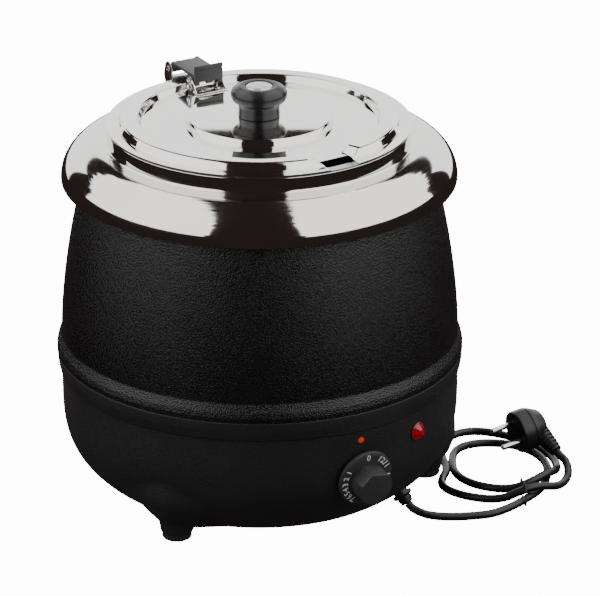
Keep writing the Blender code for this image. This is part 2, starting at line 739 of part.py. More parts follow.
    cover = cone(
        "bottom_cover", COVER_R, COVER_R, COVER_TOP_Z - COVER_T, COVER_TOP_Z, axis, PLAIN_STEEL, SEGMENTS_HIDDEN
    )
    tools = []
    for i, angle in enumerate(COVER_SCREW_ANGLES):
        place = Matrix.Translation(around(angle, COVER_SCREW_PITCH_R))
        radius = COVER_SCREW_R + TOUCH
        tools.append(cone(f"cover_hole_{i + 1}", radius, radius, 0, 0.02, axis, None, 12, place, cutter=True))
        upside = place @ Matrix.Translation((0, 0, COVER_TOP_Z - COVER_T - TOUCH)) @ Matrix.Rotation(math.pi, 4, "X")
        screw_piece(f"cover_screw_{i + 1}", COVER_SCREW_R, COVER_SCREW_L, 0.0030, 0.0015, axis, PLAIN_STEEL, upside)
    for i in range(VENT_COUNT):
        turn = Matrix.Rotation(math.tau * (i + 0.5) / VENT_COUNT, 4, "Z")
        low = (VENT_PITCH_R - VENT_L / 2, -VENT_W / 2, 0)
        high = (VENT_PITCH_R + VENT_L / 2, VENT_W / 2, 0.02)
        tools.append(box(f"vent_{i + 1}", low, high, axis, None, matrix=turn, cutter=True))
    cut(cover, *tools)


def build_body():
    """The upper shell, the crown, the water pan and the seal between them."""
    axis = SCENE.axis
    low = SEAM_Z + FLARE_H
    rise = SHELL_TOP_Z - low
    barrel = [(shell_radius(low + rise * k / 5), low + rise * k / 5) for k in range(5, -1, -1)]
    profile = [(PAN_OUT_R + 0.0032, SHELL_TOP_Z)] + barrel
    profile += [(BEAD_R - 0.0008, SEAM_Z + FLARE_H * 0.62), (BEAD_R, SEAM_Z + FLARE_H * 0.2), (BEAD_R, SEAM_Z)]
    turned("upper_shell", profile, axis, BLACK_STEEL, SEGMENTS_LARGE, wall=SHELL_WALL)

    lip_z = SHOULDER_Z - CROWN_DROP
    inner_r = shell_radius(lip_z) + 0.0012
    corners = [(MOUTH_R, CROWN_TOP_Z, 0), (MOUTH_R + 0.0012, CROWN_TOP_Z, 0), (CROWN_CORNER_R, SHOULDER_Z, 0.004)]
    corners.append((CROWN_DOME_R, SHOULDER_Z, 0))
    profile = fillet(corners)
    for k in range(1, 8):
        turn = math.pi / 2 * k / 7
        across = math.sin(turn) ** (2 / CROWN_ROUNDNESS)
        down = math.cos(turn) ** (2 / CROWN_ROUNDNESS) if k < 7 else 0.0
        profile.append((CROWN_DOME_R + (CROWN_R - CROWN_DOME_R) * across, lip_z + CROWN_DROP * down))
    profile += [(CROWN_R - 0.0012, lip_z - CROWN_LIP_H), (inner_r, lip_z - CROWN_LIP_H)]
    turned("crown_ring", profile, axis, MIRROR_STEEL, SEGMENTS_LARGE, wall=CROWN_WALL)

    under_z = PAN_FLANGE_TOP_Z - PAN_WALL
    corners = [
        (PAN_OUT_R + PAN_FLANGE, under_z, 0),
        (PAN_OUT_R, under_z, 0.002),
        (PAN_OUT_R, PAN_UNDER_Z, PAN_CORNER_R),
        (0, PAN_UNDER_Z, 0),
    ]
    turned("water_pan", fillet(corners), axis, BRUSHED_STEEL, SEGMENTS_HIDDEN, wall=PAN_WALL)
    seal = [
        (PAN_OUT_R + 0.003 + SEAL_W, SEAL_TOP_Z), (PAN_OUT_R + 0.003 + SEAL_W, SEAL_LOW_Z),
        (PAN_OUT_R + 0.003, SEAL_LOW_Z), (PAN_OUT_R + 0.003, SEAL_TOP_Z),
    ]
    seal = [(r + 0.004, z) for r, z in seal]
    turned("crown_seal", seal, axis, SILICONE, SEGMENTS_HIDDEN, ring=True)


def build_heater():
    """The tubular element, the plate that presses it to the pan, its stud and nut, and the cut-out."""
    axis = SCENE.axis
    start = HEATER_TURN_DEG + HEATER_GAP_DEG / 2
    sweep = 360 - HEATER_GAP_DEG
    loop = [around(start + sweep * k / 30, HEATER_R, HEATER_Z) for k in range(31)]
    bend = 0.007
    steps = 4

    def leg(at, along):
        points = []
        for k in range(1, steps + 1):
            turn = math.pi / 2 * k / steps
            points.append(at + along * bend * math.sin(turn) + Vector((0, 0, bend * (math.cos(turn) - 1))))
        points.append(points[-1] - Vector((0, 0, HEATER_LEG_DROP - bend)))
        return points

    first_along = (loop[0] - loop[1]).normalized()
    last_along = (loop[-1] - loop[-2]).normalized()
    path = list(reversed(leg(loop[0], first_along))) + loop + leg(loop[-1], last_along)
    tube("heating_element", path, HEATER_TUBE_R, axis, HEATER_STEEL)

    disc = cone(
        "heater_plate", PLATE_R, PLATE_R, HEATER_PLATE_TOP_Z - PLATE_T, HEATER_PLATE_TOP_Z, axis, PLAIN_STEEL,
        SEGMENTS_HIDDEN,
    )
    slot_half = HEATER_R * math.sin(math.radians(HEATER_GAP_DEG / 2)) + HEATER_TUBE_R + 0.001
    slot = box(
        "leg_slot", (-slot_half, -PLATE_R - 0.01, 0), (slot_half, -HEATER_R + 0.012, 0.1), axis, None,
        matrix=Matrix.Rotation(math.radians(HEATER_TURN_DEG), 4, "Z"), cutter=True,
    )
    stud_hole = cone("stud_hole", STUD_R + TOUCH, STUD_R + TOUCH, 0, 0.1, axis, None, 12, cutter=True)
    cut(disc, slot, stud_hole)
    stud_top = PAN_UNDER_Z - TOUCH
    cone("heater_stud", STUD_R, STUD_R, stud_top - STUD_L, stud_top, axis, PLAIN_STEEL, 12)
    nut_top = HEATER_PLATE_TOP_Z - PLATE_T - TOUCH
    nut = cone("heater_nut", NUT_R, NUT_R, nut_top - NUT_T, nut_top, axis, PLAIN_STEEL, 6)
    cut(nut, stud_hole)

    place = Matrix.Translation((*CUTOUT_AT, PAN_UNDER_Z - TOUCH))
    profile = [(0, 0), (CUTOUT_R, 0), (CUTOUT_R, -CUTOUT_H * 0.5), (CUTOUT_R * 0.7, -CUTOUT_H), (0, -CUTOUT_H)]
    turned("thermal_cutout", profile, axis, NICKEL, SEGMENTS_SMALL, matrix=place)


def dial_frame():
    return facing(0.0, bowl_radius(DIAL_Z), DIAL_Z, math.radians(DIAL_TILT_DEG))


def dot_frame():
    return facing(DOT_ANGLE, BOWL_R, DOT_Z)


def lamp_frame():
    return facing(LAMP_ANGLE, bowl_radius(LAMP_Z), LAMP_Z, bowl_tilt(LAMP_Z))


def gland_frame():
    return facing(GLAND_ANGLE, bowl_radius(GLAND_Z), GLAND_Z, bowl_tilt(GLAND_Z))


def build_dial():
    """The dial with its grip, the thermostat behind the wall, and the bulb on the pan's floor."""
    axis = SCENE.axis
    dial = dial_frame()
    bore_r = SPINDLE_R + RUNNING
    top = DIAL_FRONT_H
    profile = [
        (0, top), (GRIP_R - 0.0016, top), (GRIP_R - 0.0003, top - 0.0014), (GRIP_R, SKIRT_GAP + SKIRT_T),
        (SKIRT_R - 0.0006, SKIRT_GAP + SKIRT_T), (SKIRT_R, SKIRT_GAP + SKIRT_T - 0.0006), (SKIRT_R, SKIRT_GAP),
        (bore_r, SKIRT_GAP), (bore_r, SKIRT_GAP + SPINDLE_IN_KNOB + TOUCH), (0, SKIRT_GAP + SPINDLE_IN_KNOB + TOUCH),
    ]
    knob = turned("dial_knob", profile, axis, BLACK_PLASTIC, 32, matrix=dial)
    for i, (turn, reach) in enumerate(GRIP_FLATS):
        place = dial @ Matrix.Rotation(math.radians(-turn), 4, "Z")
        low = (-GRIP_R - 0.002, reach, SKIRT_GAP + SKIRT_T)
        high = (GRIP_R + 0.002, GRIP_R + 0.004, top + 0.002)
        cut(knob, box(f"grip_flat_{i + 1}", low, high, axis, None, matrix=place, cutter=True))

    plate_back = -PLATE_SET_BACK - PLATE_SIZE[2]
    body_front = plate_back - TOUCH
    body_back = body_front - THERMOSTAT_SIZE[2]
    spindle_in = body_front - SPINDLE_IN_BODY
    cone(
        "thermostat_spindle", SPINDLE_R, SPINDLE_R, spindle_in + TOUCH, SKIRT_GAP + SPINDLE_IN_KNOB, axis,
        PLAIN_STEEL, 24, dial,
    )
    half_x, half_y = THERMOSTAT_SIZE[0] / 2, THERMOSTAT_SIZE[1] / 2
    body = box(
        "thermostat_body", (-half_x, -half_y, body_back), (half_x, half_y, body_front), axis, WHITE_NYLON,
        matrix=dial,
    )
    unite(body, cone("bush", BUSH_R, BUSH_R, body_front - 0.004, SKIRT_GAP - 0.0005, axis, None, 24, dial, cutter=True))
    cut(body, cone("bush_bore", bore_r, bore_r, spindle_in, 0.01, axis, None, 24, dial, cutter=True))

    half_x, half_y = PLATE_SIZE[0] / 2, PLATE_SIZE[1] / 2
    mount = box(
        "thermostat_plate", (-half_x, -half_y, plate_back), (half_x, half_y, -PLATE_SET_BACK), axis, PLAIN_STEEL,
        matrix=dial,
    )
    hole_r = PLATE_SCREW_R + TOUCH
    cut(mount, cone("bush_hole", BUSH_HOLE_R, BUSH_HOLE_R, -0.02, 0, axis, None, 24, dial, cutter=True))
    for side, word in ((-1, "left"), (1, "right")):
        place = dial @ Matrix.Translation((side * PLATE_SCREW_X, 0, 0))
        cut(mount, cone(f"plate_hole_{word}", hole_r, hole_r, -0.02, 0, axis, None, 12, place, cutter=True))
        inside = place @ Matrix.Translation((0, 0, plate_back - TOUCH)) @ Matrix.Rotation(math.pi, 4, "X")
        screw_piece(
            f"thermostat_screw_{word}", PLATE_SCREW_R, PLATE_SET_BACK - 0.0012, PLATE_SCREW_HEAD_R,
            PLATE_SCREW_HEAD_H, axis, PLAIN_STEEL, inside,
        )

    bulb_z = PAN_UNDER_Z - TOUCH - BULB_R
    back = dial @ Vector((0, 0, body_back - 2 * TOUCH))
    gap = around(HEATER_TURN_DEG, HEATER_R, bulb_z)
    bulb_end = Vector((BULB_L * 0.3, BULB_Y, bulb_z))
    lead = [
        back, dial @ Vector((0, 0, body_back - 0.003)), around(HEATER_TURN_DEG / 2, PAN_OUT_R + 0.004, bulb_z),
        around(HEATER_TURN_DEG, HEATER_R * 1.12, bulb_z), gap,
        around(HEATER_TURN_DEG, HEATER_R * 0.88, bulb_z),
        bulb_end + Vector((0.011, -0.008, 0)), bulb_end + Vector((0.006, 0, 0)),
    ]
    lead = smooth_route(lead, 0.006)
    thin_share = CAPILLARY_R / BULB_R
    path = lead + [bulb_end, bulb_end - Vector((0.001, 0, 0)), bulb_end - Vector((BULB_L, 0, 0))]
    radii = [thin_share] * (len(lead) + 1) + [1.0, 1.0]
    tube("sensing_bulb", path, BULB_R, axis, COPPER, radii=radii)


def build_indicators():
    """The index dot, the pilot lamp with its body and nut."""
    axis = SCENE.axis
    dot = [
        (0, TOUCH + DOT_T), (DOT_R * 0.8, TOUCH + DOT_T), (DOT_R, TOUCH + DOT_T * 0.5), (DOT_R, TOUCH),
        (DOT_STEM_R, TOUCH), (DOT_STEM_R, -BASE_WALL), (0, -BASE_WALL),
    ]
    turned("index_dot", dot, axis, RED_PAINT, SEGMENTS_SMALL, matrix=dot_frame())
    lamp = lamp_frame()
    lens = [
        (0, LAMP_LENS_H), (LAMP_R * 0.30, LAMP_LENS_H * 0.94), (LAMP_R * 0.80, LAMP_LENS_H * 0.38),
        (LAMP_R * 0.86, TOUCH + 0.0014), (LAMP_R, TOUCH + 0.0010), (LAMP_R, TOUCH),
        (LAMP_BARREL_R, TOUCH), (LAMP_BARREL_R, -LAMP_BARREL_L), (0, -LAMP_BARREL_L),
    ]
    turned("pilot_lamp_lens", lens, axis, RED_LENS, 20, matrix=lamp)
    nut_front = -BASE_WALL - 0.0016
    nut = cone(
        "pilot_lamp_nut", LAMP_NUT_R, LAMP_NUT_R, nut_front - LAMP_NUT_T, nut_front, axis, WHITE_NYLON, 6, lamp
    )
    cut(nut, cone("nut_bore", LAMP_BARREL_R + TOUCH, LAMP_BARREL_R + TOUCH, -0.02, 0, axis, None, 16, lamp, cutter=True))
    body_front = -LAMP_BARREL_L - TOUCH
    body = [
        (0, body_front), (LAMP_BODY_R, body_front), (LAMP_BODY_R, body_front - LAMP_BODY_L * 0.8),
        (LAMP_BODY_R * 0.6, body_front - LAMP_BODY_L), (0, body_front - LAMP_BODY_L),
    ]
    turned("pilot_lamp_body", body, axis, WHITE_NYLON, SEGMENTS_SMALL, matrix=lamp)


def build_wiring():
    """The gland, its nut, the lead inside, the terminal block and the earth screw."""
    axis = SCENE.axis
    gland = gland_frame()
    bore = CORD_R + TOUCH
    flange = TOUCH + 0.0008
    profile = [
        (bore, GLAND_OUT), (GLAND_TIP_R, GLAND_OUT), (GLAND_TIP_R + 0.0012, flange + GLAND_FLANGE_T + 0.0012),
        (GLAND_FLANGE_R - 0.001, flange + GLAND_FLANGE_T), (GLAND_FLANGE_R, flange + GLAND_FLANGE_T - 0.001),
        (GLAND_FLANGE_R, flange), (GLAND_SHANK_R, flange), (GLAND_SHANK_R, -GLAND_SHANK_L),
        (bore, -GLAND_SHANK_L),
    ]
    turned("cord_gland", profile, axis, BLACK_PLASTIC, SEGMENTS_SMALL, ring=True, matrix=gland)
    nut_front = -BASE_WALL - 0.0018
    nut = cone("gland_nut", GLAND_NUT_R, GLAND_NUT_R, nut_front - GLAND_NUT_T, nut_front, axis, BLACK_PLASTIC, 6, gland)
    nut_bore = GLAND_SHANK_R + TOUCH
    cut(nut, cone("gland_nut_bore", nut_bore, nut_bore, -0.03, 0, axis, None, 16, gland, cutter=True))

    cover_z = COVER_TOP_Z + TOUCH
    low = (BLOCK_AT[0] - BLOCK_SIZE[0] / 2, BLOCK_AT[1] - BLOCK_SIZE[1] / 2, cover_z)
    high = (BLOCK_AT[0] + BLOCK_SIZE[0] / 2, BLOCK_AT[1] + BLOCK_SIZE[1] / 2, cover_z + BLOCK_SIZE[2])
    box("terminal_block", low, high, axis, WHITE_NYLON, 0.001)
    earth = Matrix.Translation((*EARTH_AT, cover_z))
    profile = [
        (0, EARTH_H), (EARTH_R, EARTH_H), (EARTH_R, EARTH_H * 0.6), (EARTH_R * 2.2, EARTH_H * 0.6),
        (EARTH_R * 2.2, EARTH_H * 0.25), (EARTH_R, EARTH_H * 0.25), (EARTH_R * 1.6, 0), (0, 0),
    ]
    turned("earth_screw", profile, axis, COPPER, 12, matrix=earth)
    mouth = gland @ Vector((0, 0, -0.002))
    middle = gland @ Vector((0, 0, -GLAND_SHANK_L * 0.6))
    rear = gland @ Vector((0, 0, -GLAND_SHANK_L - 0.001))
    inner = gland @ Vector((0, 0, -GLAND_SHANK_L - 0.006))
    target = Vector((high[0] + 2 * TOUCH, BLOCK_AT[1], cover_z + BLOCK_SIZE[2] / 2))
    route = [mouth, middle, rear, inner, inner.lerp(target, 0.45) + Vector((0.009, 0, 0.004))]
    route += [target + Vector((0.014, 0, 0)), target + Vector((0.006, 0, 0)), target]
    tube("inner_lead", smooth_route(route, 0.005), CORD_R * 0.75, axis, RUBBER)


def build_pot():
    """The pot that lifts out, with the tab on its rim that the hinge bracket grips."""
    frame = SCENE.pot_frame
    rim_r = MOUTH_R + RIM_OVERHANG
    corners = [
        (rim_r, RIM_UNDER_Z, 0),
        (POT_OUT_R, RIM_UNDER_Z, 0.0015),
        (POT_OUT_R, POT_FLOOR_Z, POT_CORNER_R),
        (0, POT_FLOOR_Z, 0),
    ]
    pot = turned("inner_pot", fillet(corners, 2), frame, BRUSHED_STEEL, SEGMENTS_HIDDEN, wall=POT_WALL)
    tab = box(
        "rim_tab", (-TAB_W / 2, MOUTH_R - 0.004, RIM_UNDER_Z), (TAB_W / 2, TAB_REAR_Y, RIM_UNDER_Z + POT_WALL),
        frame, None, cutter=True,
    )
    unite(pot, tab)


def lid_outline():
    """The lid's top surface from its hole out to the flange's edge, as (r, z, fillet)."""
    low, high = LID_FLANGE_Z, LID_TOP_Z
    return [
        (LID_HOLE_R, high, 0),
        (LID_DISC_TOP_R, high, 0.0020),
        (LID_DISC_FOOT_R, low, 0),
        (LID_BAND_IN_R, low, 0),
        (LID_BAND_TOP_IN_R, high, 0.0016),
        (LID_BAND_TOP_OUT_R, high, 0.0022),
        (LID_BAND_OUT_R, low, 0),
        (LID_R, low, 0),
    ]


def build_lid():
    """The pressed lid with its ladle notch, and the knob on it."""
    frame = SCENE.lid_frame
    lid = turned("lid", fillet(lid_outline(), 1), frame, MIRROR_STEEL, SEGMENTS_LARGE, wall=LID_WALL)
    notch = box(
        "ladle_notch", (-NOTCH_W / 2, -LID_R - 0.01, LID_FLANGE_Z - 0.01), (NOTCH_W / 2, -NOTCH_IN_R, LID_TOP_Z + 0.01),
        frame, None, matrix=Matrix.Rotation(math.radians(NOTCH_TURN_DEG), 4, "Z"), cutter=True,
    )
    relief = box(
        "hinge_relief", (-RELIEF_W / 2, RELIEF_Y, LID_FLANGE_Z - 0.01), (RELIEF_W / 2, LID_R + 0.01, LID_TOP_Z + 0.01),
        frame, None, cutter=True,
    )
    cut(lid, notch, relief)
    hole_r = RIVET_R + TOUCH
    for side, word in ((-1, "left"), (1, "right")):
        place = Matrix.Translation((side * RIVET_X, RIVET_Y, 0))
        low, high = LID_FLANGE_Z - 0.01, LID_FLANGE_Z + 0.01
        cut(lid, cone(f"rivet_hole_{word}", hole_r, hole_r, low, high, frame, None, 12, place, cutter=True))

    seat = LID_TOP_Z + TOUCH
    place = Matrix.Translation((0, 0, seat))
    cap_seat = KNOB_H - 0.0022
    profile = [
        (0, cap_seat), (KNOB_CAP_R + TOUCH, cap_seat), (KNOB_CAP_R + 0.0010, KNOB_H), (KNOB_HEAD_R * 0.74, KNOB_H - 0.0003),
        (KNOB_HEAD_R * 0.93, KNOB_H * 0.90), (KNOB_HEAD_R, KNOB_H * 0.74), (KNOB_HEAD_R * 0.95, KNOB_H * 0.60),
        (KNOB_HEAD_R * 0.80, KNOB_H * 0.48), (KNOB_NECK_R, KNOB_H * 0.36), (KNOB_NECK_R, KNOB_H * 0.24),
        (KNOB_FOOT_R, KNOB_H * 0.05), (KNOB_FOOT_R, 0), (KNOB_BORE_R, 0), (KNOB_BORE_R, KNOB_BORE_L), (0, KNOB_BORE_L),
    ]
    knob = turned("lid_knob", profile, frame, BLACK_PLASTIC, 32, matrix=place)
    stem_hole = KNOB_CAP_STEM_R + TOUCH
    cut(
        knob,
        cone(
            "cap_stem_hole", stem_hole, stem_hole, cap_seat - KNOB_CAP_STEM_L - 0.001, KNOB_H + 0.01, frame, None, 12,
            place, cutter=True,
        ),
    )
    low = cap_seat + TOUCH
    cap = [
        (0, low + KNOB_CAP_T), (KNOB_CAP_R * 0.7, low + KNOB_CAP_T * 0.9), (KNOB_CAP_R, low + KNOB_CAP_T * 0.4),
        (KNOB_CAP_R, low), (KNOB_CAP_STEM_R, low), (KNOB_CAP_STEM_R, low - KNOB_CAP_STEM_L),
        (0, low - KNOB_CAP_STEM_L),
    ]
    turned("knob_cap", cap, frame, BRUSHED_STEEL, 24, matrix=place)
    washer_top = LID_TOP_Z - LID_WALL - TOUCH
    washer = [
        (WASHER_R, washer_top), (WASHER_R, washer_top - WASHER_T), (LID_HOLE_R, washer_top - WASHER_T),
        (LID_HOLE_R, washer_top),
    ]
    turned("knob_washer", washer, frame, PLAIN_STEEL, SEGMENTS_SMALL, ring=True)
    upside = Matrix.Translation((0, 0, washer_top - WASHER_T - TOUCH)) @ Matrix.Rotation(math.pi, 4, "X")
    flipped = [
        (0, KNOB_SCREW_L), (KNOB_SCREW_R, KNOB_SCREW_L), (KNOB_SCREW_R, 0), (KNOB_SCREW_HEAD_R, 0),
        (KNOB_SCREW_HEAD_R, -KNOB_SCREW_HEAD_H * 0.5), (KNOB_SCREW_HEAD_R * 0.7, -KNOB_SCREW_HEAD_H),
        (0, -KNOB_SCREW_HEAD_H),
    ]
    turned("knob_screw", flipped, frame, PLAIN_STEEL, 12, matrix=Matrix.Translation(upside.translation))


def side_frame(x, z):
    """A frame whose X is the lid's Y, whose Y is up and whose Z is across the hinge, at a height and an X."""
    return Matrix(((0, 0, 1, x), (1, 0, 0, 0), (0, 1, 0, z), (0, 0, 0, 1)))


def pin(name, y, z, half, parent):
    """A hinge pin across the lid with slightly domed ends."""
    profile = [
        (0, half), (PIN_R * 1.35, half - 0.0001), (PIN_R * 1.35, half - 0.0006), (PIN_R, half - 0.0006),
        (PIN_R, -half + 0.0006), (PIN_R * 1.35, -half + 0.0006), (PIN_R * 1.35, -half + 0.0001), (0, -half),
    ]
    place = side_frame(0, z) @ Matrix.Translation((y, 0, 0))
    return turned(name, profile, parent, NICKEL, 16, matrix=place)


def build_hinge():
    """The bracket on the pot's rim, the arm and the leaf on the lid, their pins, rivets and screws."""
    frame = SCENE.lid_frame
    low = LID_FLANGE_Z
    rear = (REAR_PIN_Y, low + REAR_PIN_H)
    front = (FRONT_PIN_Y, low + FRONT_PIN_H)
    head = 0.0009

    def bore(name, at, parent):
        radius = PIN_R + RUNNING
        place = side_frame(0, at[1]) @ Matrix.Translation((at[0], 0, 0))
        return cone(name, radius, radius, -HINGE_W, HINGE_W, parent, None, 16, place, cutter=True)

    # Arm: a top plate, a thumb plate at its front, and webs down to the pins
    side = side_frame(0, 0)
    top = low + ARM_TOP_H
    arm_outline = [
        (ARM_FRONT_Y, low + THUMB_LOW_H), (ARM_FRONT_Y + THUMB_T, low + THUMB_LOW_H),
        (ARM_FRONT_Y + THUMB_T, top - ARM_PLATE_T), (ARM_REAR_Y, top - ARM_PLATE_T), (ARM_REAR_Y, top),
        (ARM_FRONT_Y + THUMB_T, top), (ARM_FRONT_Y + THUMB_T, low + THUMB_TOP_H), (ARM_FRONT_Y, low + THUMB_TOP_H),
    ]
    arm = plate("hinge_arm", arm_outline, -ARM_HALF, ARM_HALF, frame, BLACK_PLASTIC, side)
    front_block = plate(
        "front_web",
        [
            (ARM_FRONT_Y + 0.001, top - 0.001), (ARM_FRONT_Y + 0.001, front[1] - PIN_R - 0.0012),
            (front[0] + 0.0022, front[1] - PIN_R - 0.0010), (front[0] + 0.0042, front[1] + 0.0020),
            (front[0] + 0.0070, top - 0.001),
        ],
        -ARM_HALF + TOUCH, ARM_HALF - TOUCH, frame, None, side, cutter=True,
    )
    rear_web = plate(
        "rear_web",
        [
            (ARM_REAR_Y - 0.0085, top - 0.001), (rear[0] - 0.0040, rear[1] - 0.0014), (rear[0] - 0.0016, rear[1] - 0.0034),
            (rear[0] + 0.0016, rear[1] - 0.0034), (rear[0] + 0.0034, rear[1] - 0.0014), (rear[0] + 0.0034, rear[1] + 0.0020),
            (ARM_REAR_Y - 0.0005, top - 0.0003),
        ],
        -ARM_HALF + TOUCH, ARM_HALF - TOUCH, frame, None, side, cutter=True,
    )
    unite(arm, front_block, rear_web)
    cut(arm, bore("arm_front_bore", front, frame), bore("arm_rear_bore", rear, frame))
    groove_z = low + THUMB_TOP_H - 0.0040
    groove = box(
        "thumb_groove", (-0.02, ARM_FRONT_Y - 0.001, groove_z - 0.0004), (0.02, ARM_FRONT_Y + 0.0006, groove_z + 0.0004),
        frame, None, cutter=True,
    )
    cut(arm, groove)

    # Leaf: a channel on the lid with an ear either side of the arm
    leaf_low = low + TOUCH
    leaf_high = leaf_low + LEAF_T
    leaf = box(
        "hinge_leaf", (-LEAF_HALF, LEAF_FRONT_Y, leaf_low), (LEAF_HALF, LEAF_REAR_Y, leaf_high), frame, MIRROR_STEEL
    )
    ear = [
        (LEAF_FRONT_Y + 0.0030, leaf_low), (LEAF_FRONT_Y + 0.0062, low + 0.0052), (front[0] - 0.0050, low + LEAF_TOP_H - 0.0010),
        (front[0] - 0.0022, low + LEAF_TOP_H), (front[0] + 0.0016, low + LEAF_TOP_H), (front[0] + 0.0034, front[1] + 0.0016),
        (front[0] + 0.0034, front[1] - 0.0012), (front[0] + 0.0020, LID_TOP_Z + 0.0006), (LEAF_REAR_Y, LID_TOP_Z + 0.0006),
        (LEAF_REAR_Y, leaf_low),
    ]
    for sign, word in ((-1, "left"), (1, "right")):
        inner, outer = sorted((sign * (LEAF_HALF - LEAF_T), sign * LEAF_HALF))
        unite(leaf, plate(f"leaf_ear_{word}", ear, inner, outer, frame, None, side, cutter=True))
    cut(leaf, bore("leaf_bore", front, frame))
    for sign, word in ((-1, "left"), (1, "right")):
        place = Matrix.Translation((sign * RIVET_X, RIVET_Y, 0))
        radius = RIVET_R + TOUCH
        cut(leaf, cone(f"leaf_hole_{word}", radius, radius, low - 0.01, low + 0.01, frame, None, 12, place, cutter=True))
        above, below = leaf_high + TOUCH, low - LID_WALL - TOUCH
        profile = [
            (0, above + RIVET_HEAD_H), (RIVET_HEAD_R * 0.6, above + RIVET_HEAD_H), (RIVET_HEAD_R, above + 0.0003),
            (RIVET_HEAD_R, above), (RIVET_R, above), (RIVET_R, below), (RIVET_HEAD_R * 0.9, below),
            (RIVET_HEAD_R * 0.9, below - RIVET_HEAD_H * 0.7), (0, below - RIVET_HEAD_H * 0.7),
        ]
        turned(f"leaf_rivet_{word}", profile, frame, NICKEL, 12, matrix=place)
    pin("front_pin", front[0], front[1], LEAF_HALF + head, frame)

    # Bracket: a base over the pot's tab with an ear either side, and the clamp bar below the tab
    frame = SCENE.pot_frame
    base_low = RIM_UNDER_Z + POT_WALL + TOUCH
    base_high = base_low + EAR_T
    bracket = box(
        "hinge_bracket", (-BRACKET_HALF, LID_R + 0.0014, base_low), (BRACKET_HALF, TAB_REAR_Y, base_high), frame,
        MIRROR_STEEL,
    )
    low_z = RIM_UNDER_Z + EAR_LOW_H
    outline = [(CROWN_CORNER_R + 0.0004, low_z), (EAR_FRONT_Y + 0.0016, low_z + 0.0030), (EAR_FRONT_Y, RIM_UNDER_Z)]
    for k in range(7):
        turn = math.radians(180 - 30 * k)
        outline.append((rear[0] + EAR_TOP_R * math.cos(turn), rear[1] + EAR_TOP_R * math.sin(turn)))
    outline += [(EAR_BACK_Y, rear[1] - 0.0060), (EAR_BACK_Y - 0.0012, rear[1] - 0.0105), (CLAMP_REAR_Y, low_z)]
    for sign, word in ((-1, "left"), (1, "right")):
        inner, outer = sorted((sign * (BRACKET_HALF - EAR_T), sign * BRACKET_HALF))
        unite(bracket, plate(f"bracket_ear_{word}", outline, inner, outer, frame, None, side, cutter=True))
    cut(bracket, bore("bracket_bore", rear, frame))
    clamp_high = RIM_UNDER_Z - TOUCH
    clamp_low = clamp_high - CLAMP_H
    clamp_half = BRACKET_HALF - EAR_T - TOUCH
    bar = box(
        "clamp_bar", (-clamp_half, CLAMP_FRONT_Y, clamp_low), (clamp_half, CLAMP_REAR_Y, clamp_high), frame,
        BLACK_PLASTIC,
    )
    mid_y, mid_z = (CLAMP_FRONT_Y + CLAMP_REAR_Y) / 2, (clamp_low + clamp_high) / 2
    radius = CLAMP_SCREW_R + TOUCH
    for sign, word in ((-1, "left"), (1, "right")):
        place = side_frame(0, mid_z) @ Matrix.Translation((mid_y, 0, 0))
        depth = clamp_half - CLAMP_SCREW_L
        span = sorted((sign * depth, sign * 0.03))
        hole = cone(f"clamp_bore_{word}", radius, radius, span[0], span[1], frame, None, 12, place, cutter=True)
        cut(bar, hole)
        cut(bracket, hole)
        turn = Matrix() if sign > 0 else Matrix.Rotation(math.pi, 4, "X")
        outside = place @ Matrix.Translation((0, 0, sign * (BRACKET_HALF + TOUCH))) @ turn
        screw_piece(
            f"clamp_screw_{word}", CLAMP_SCREW_R, CLAMP_SCREW_L, CLAMP_SCREW_HEAD_R, CLAMP_SCREW_HEAD_H, frame,
            PLAIN_STEEL, outside,
        )
    pin("rear_pin", rear[0], rear[1], BRACKET_HALF + head, frame)


def plug_frame():
    """A frame at the plug's face: Z along the pins and Y towards the tail's far side."""
    face, out = Vector(PLUG_FACE), Vector(PIN_DIRECTION).normalized()
    tail = Vector(TAIL_END) - face
    up = -(tail - out * tail.dot(out)).normalized()
    across = up.cross(out)
    return Matrix.Translation(face) @ Matrix((across, up, out)).transposed().to_4x4()


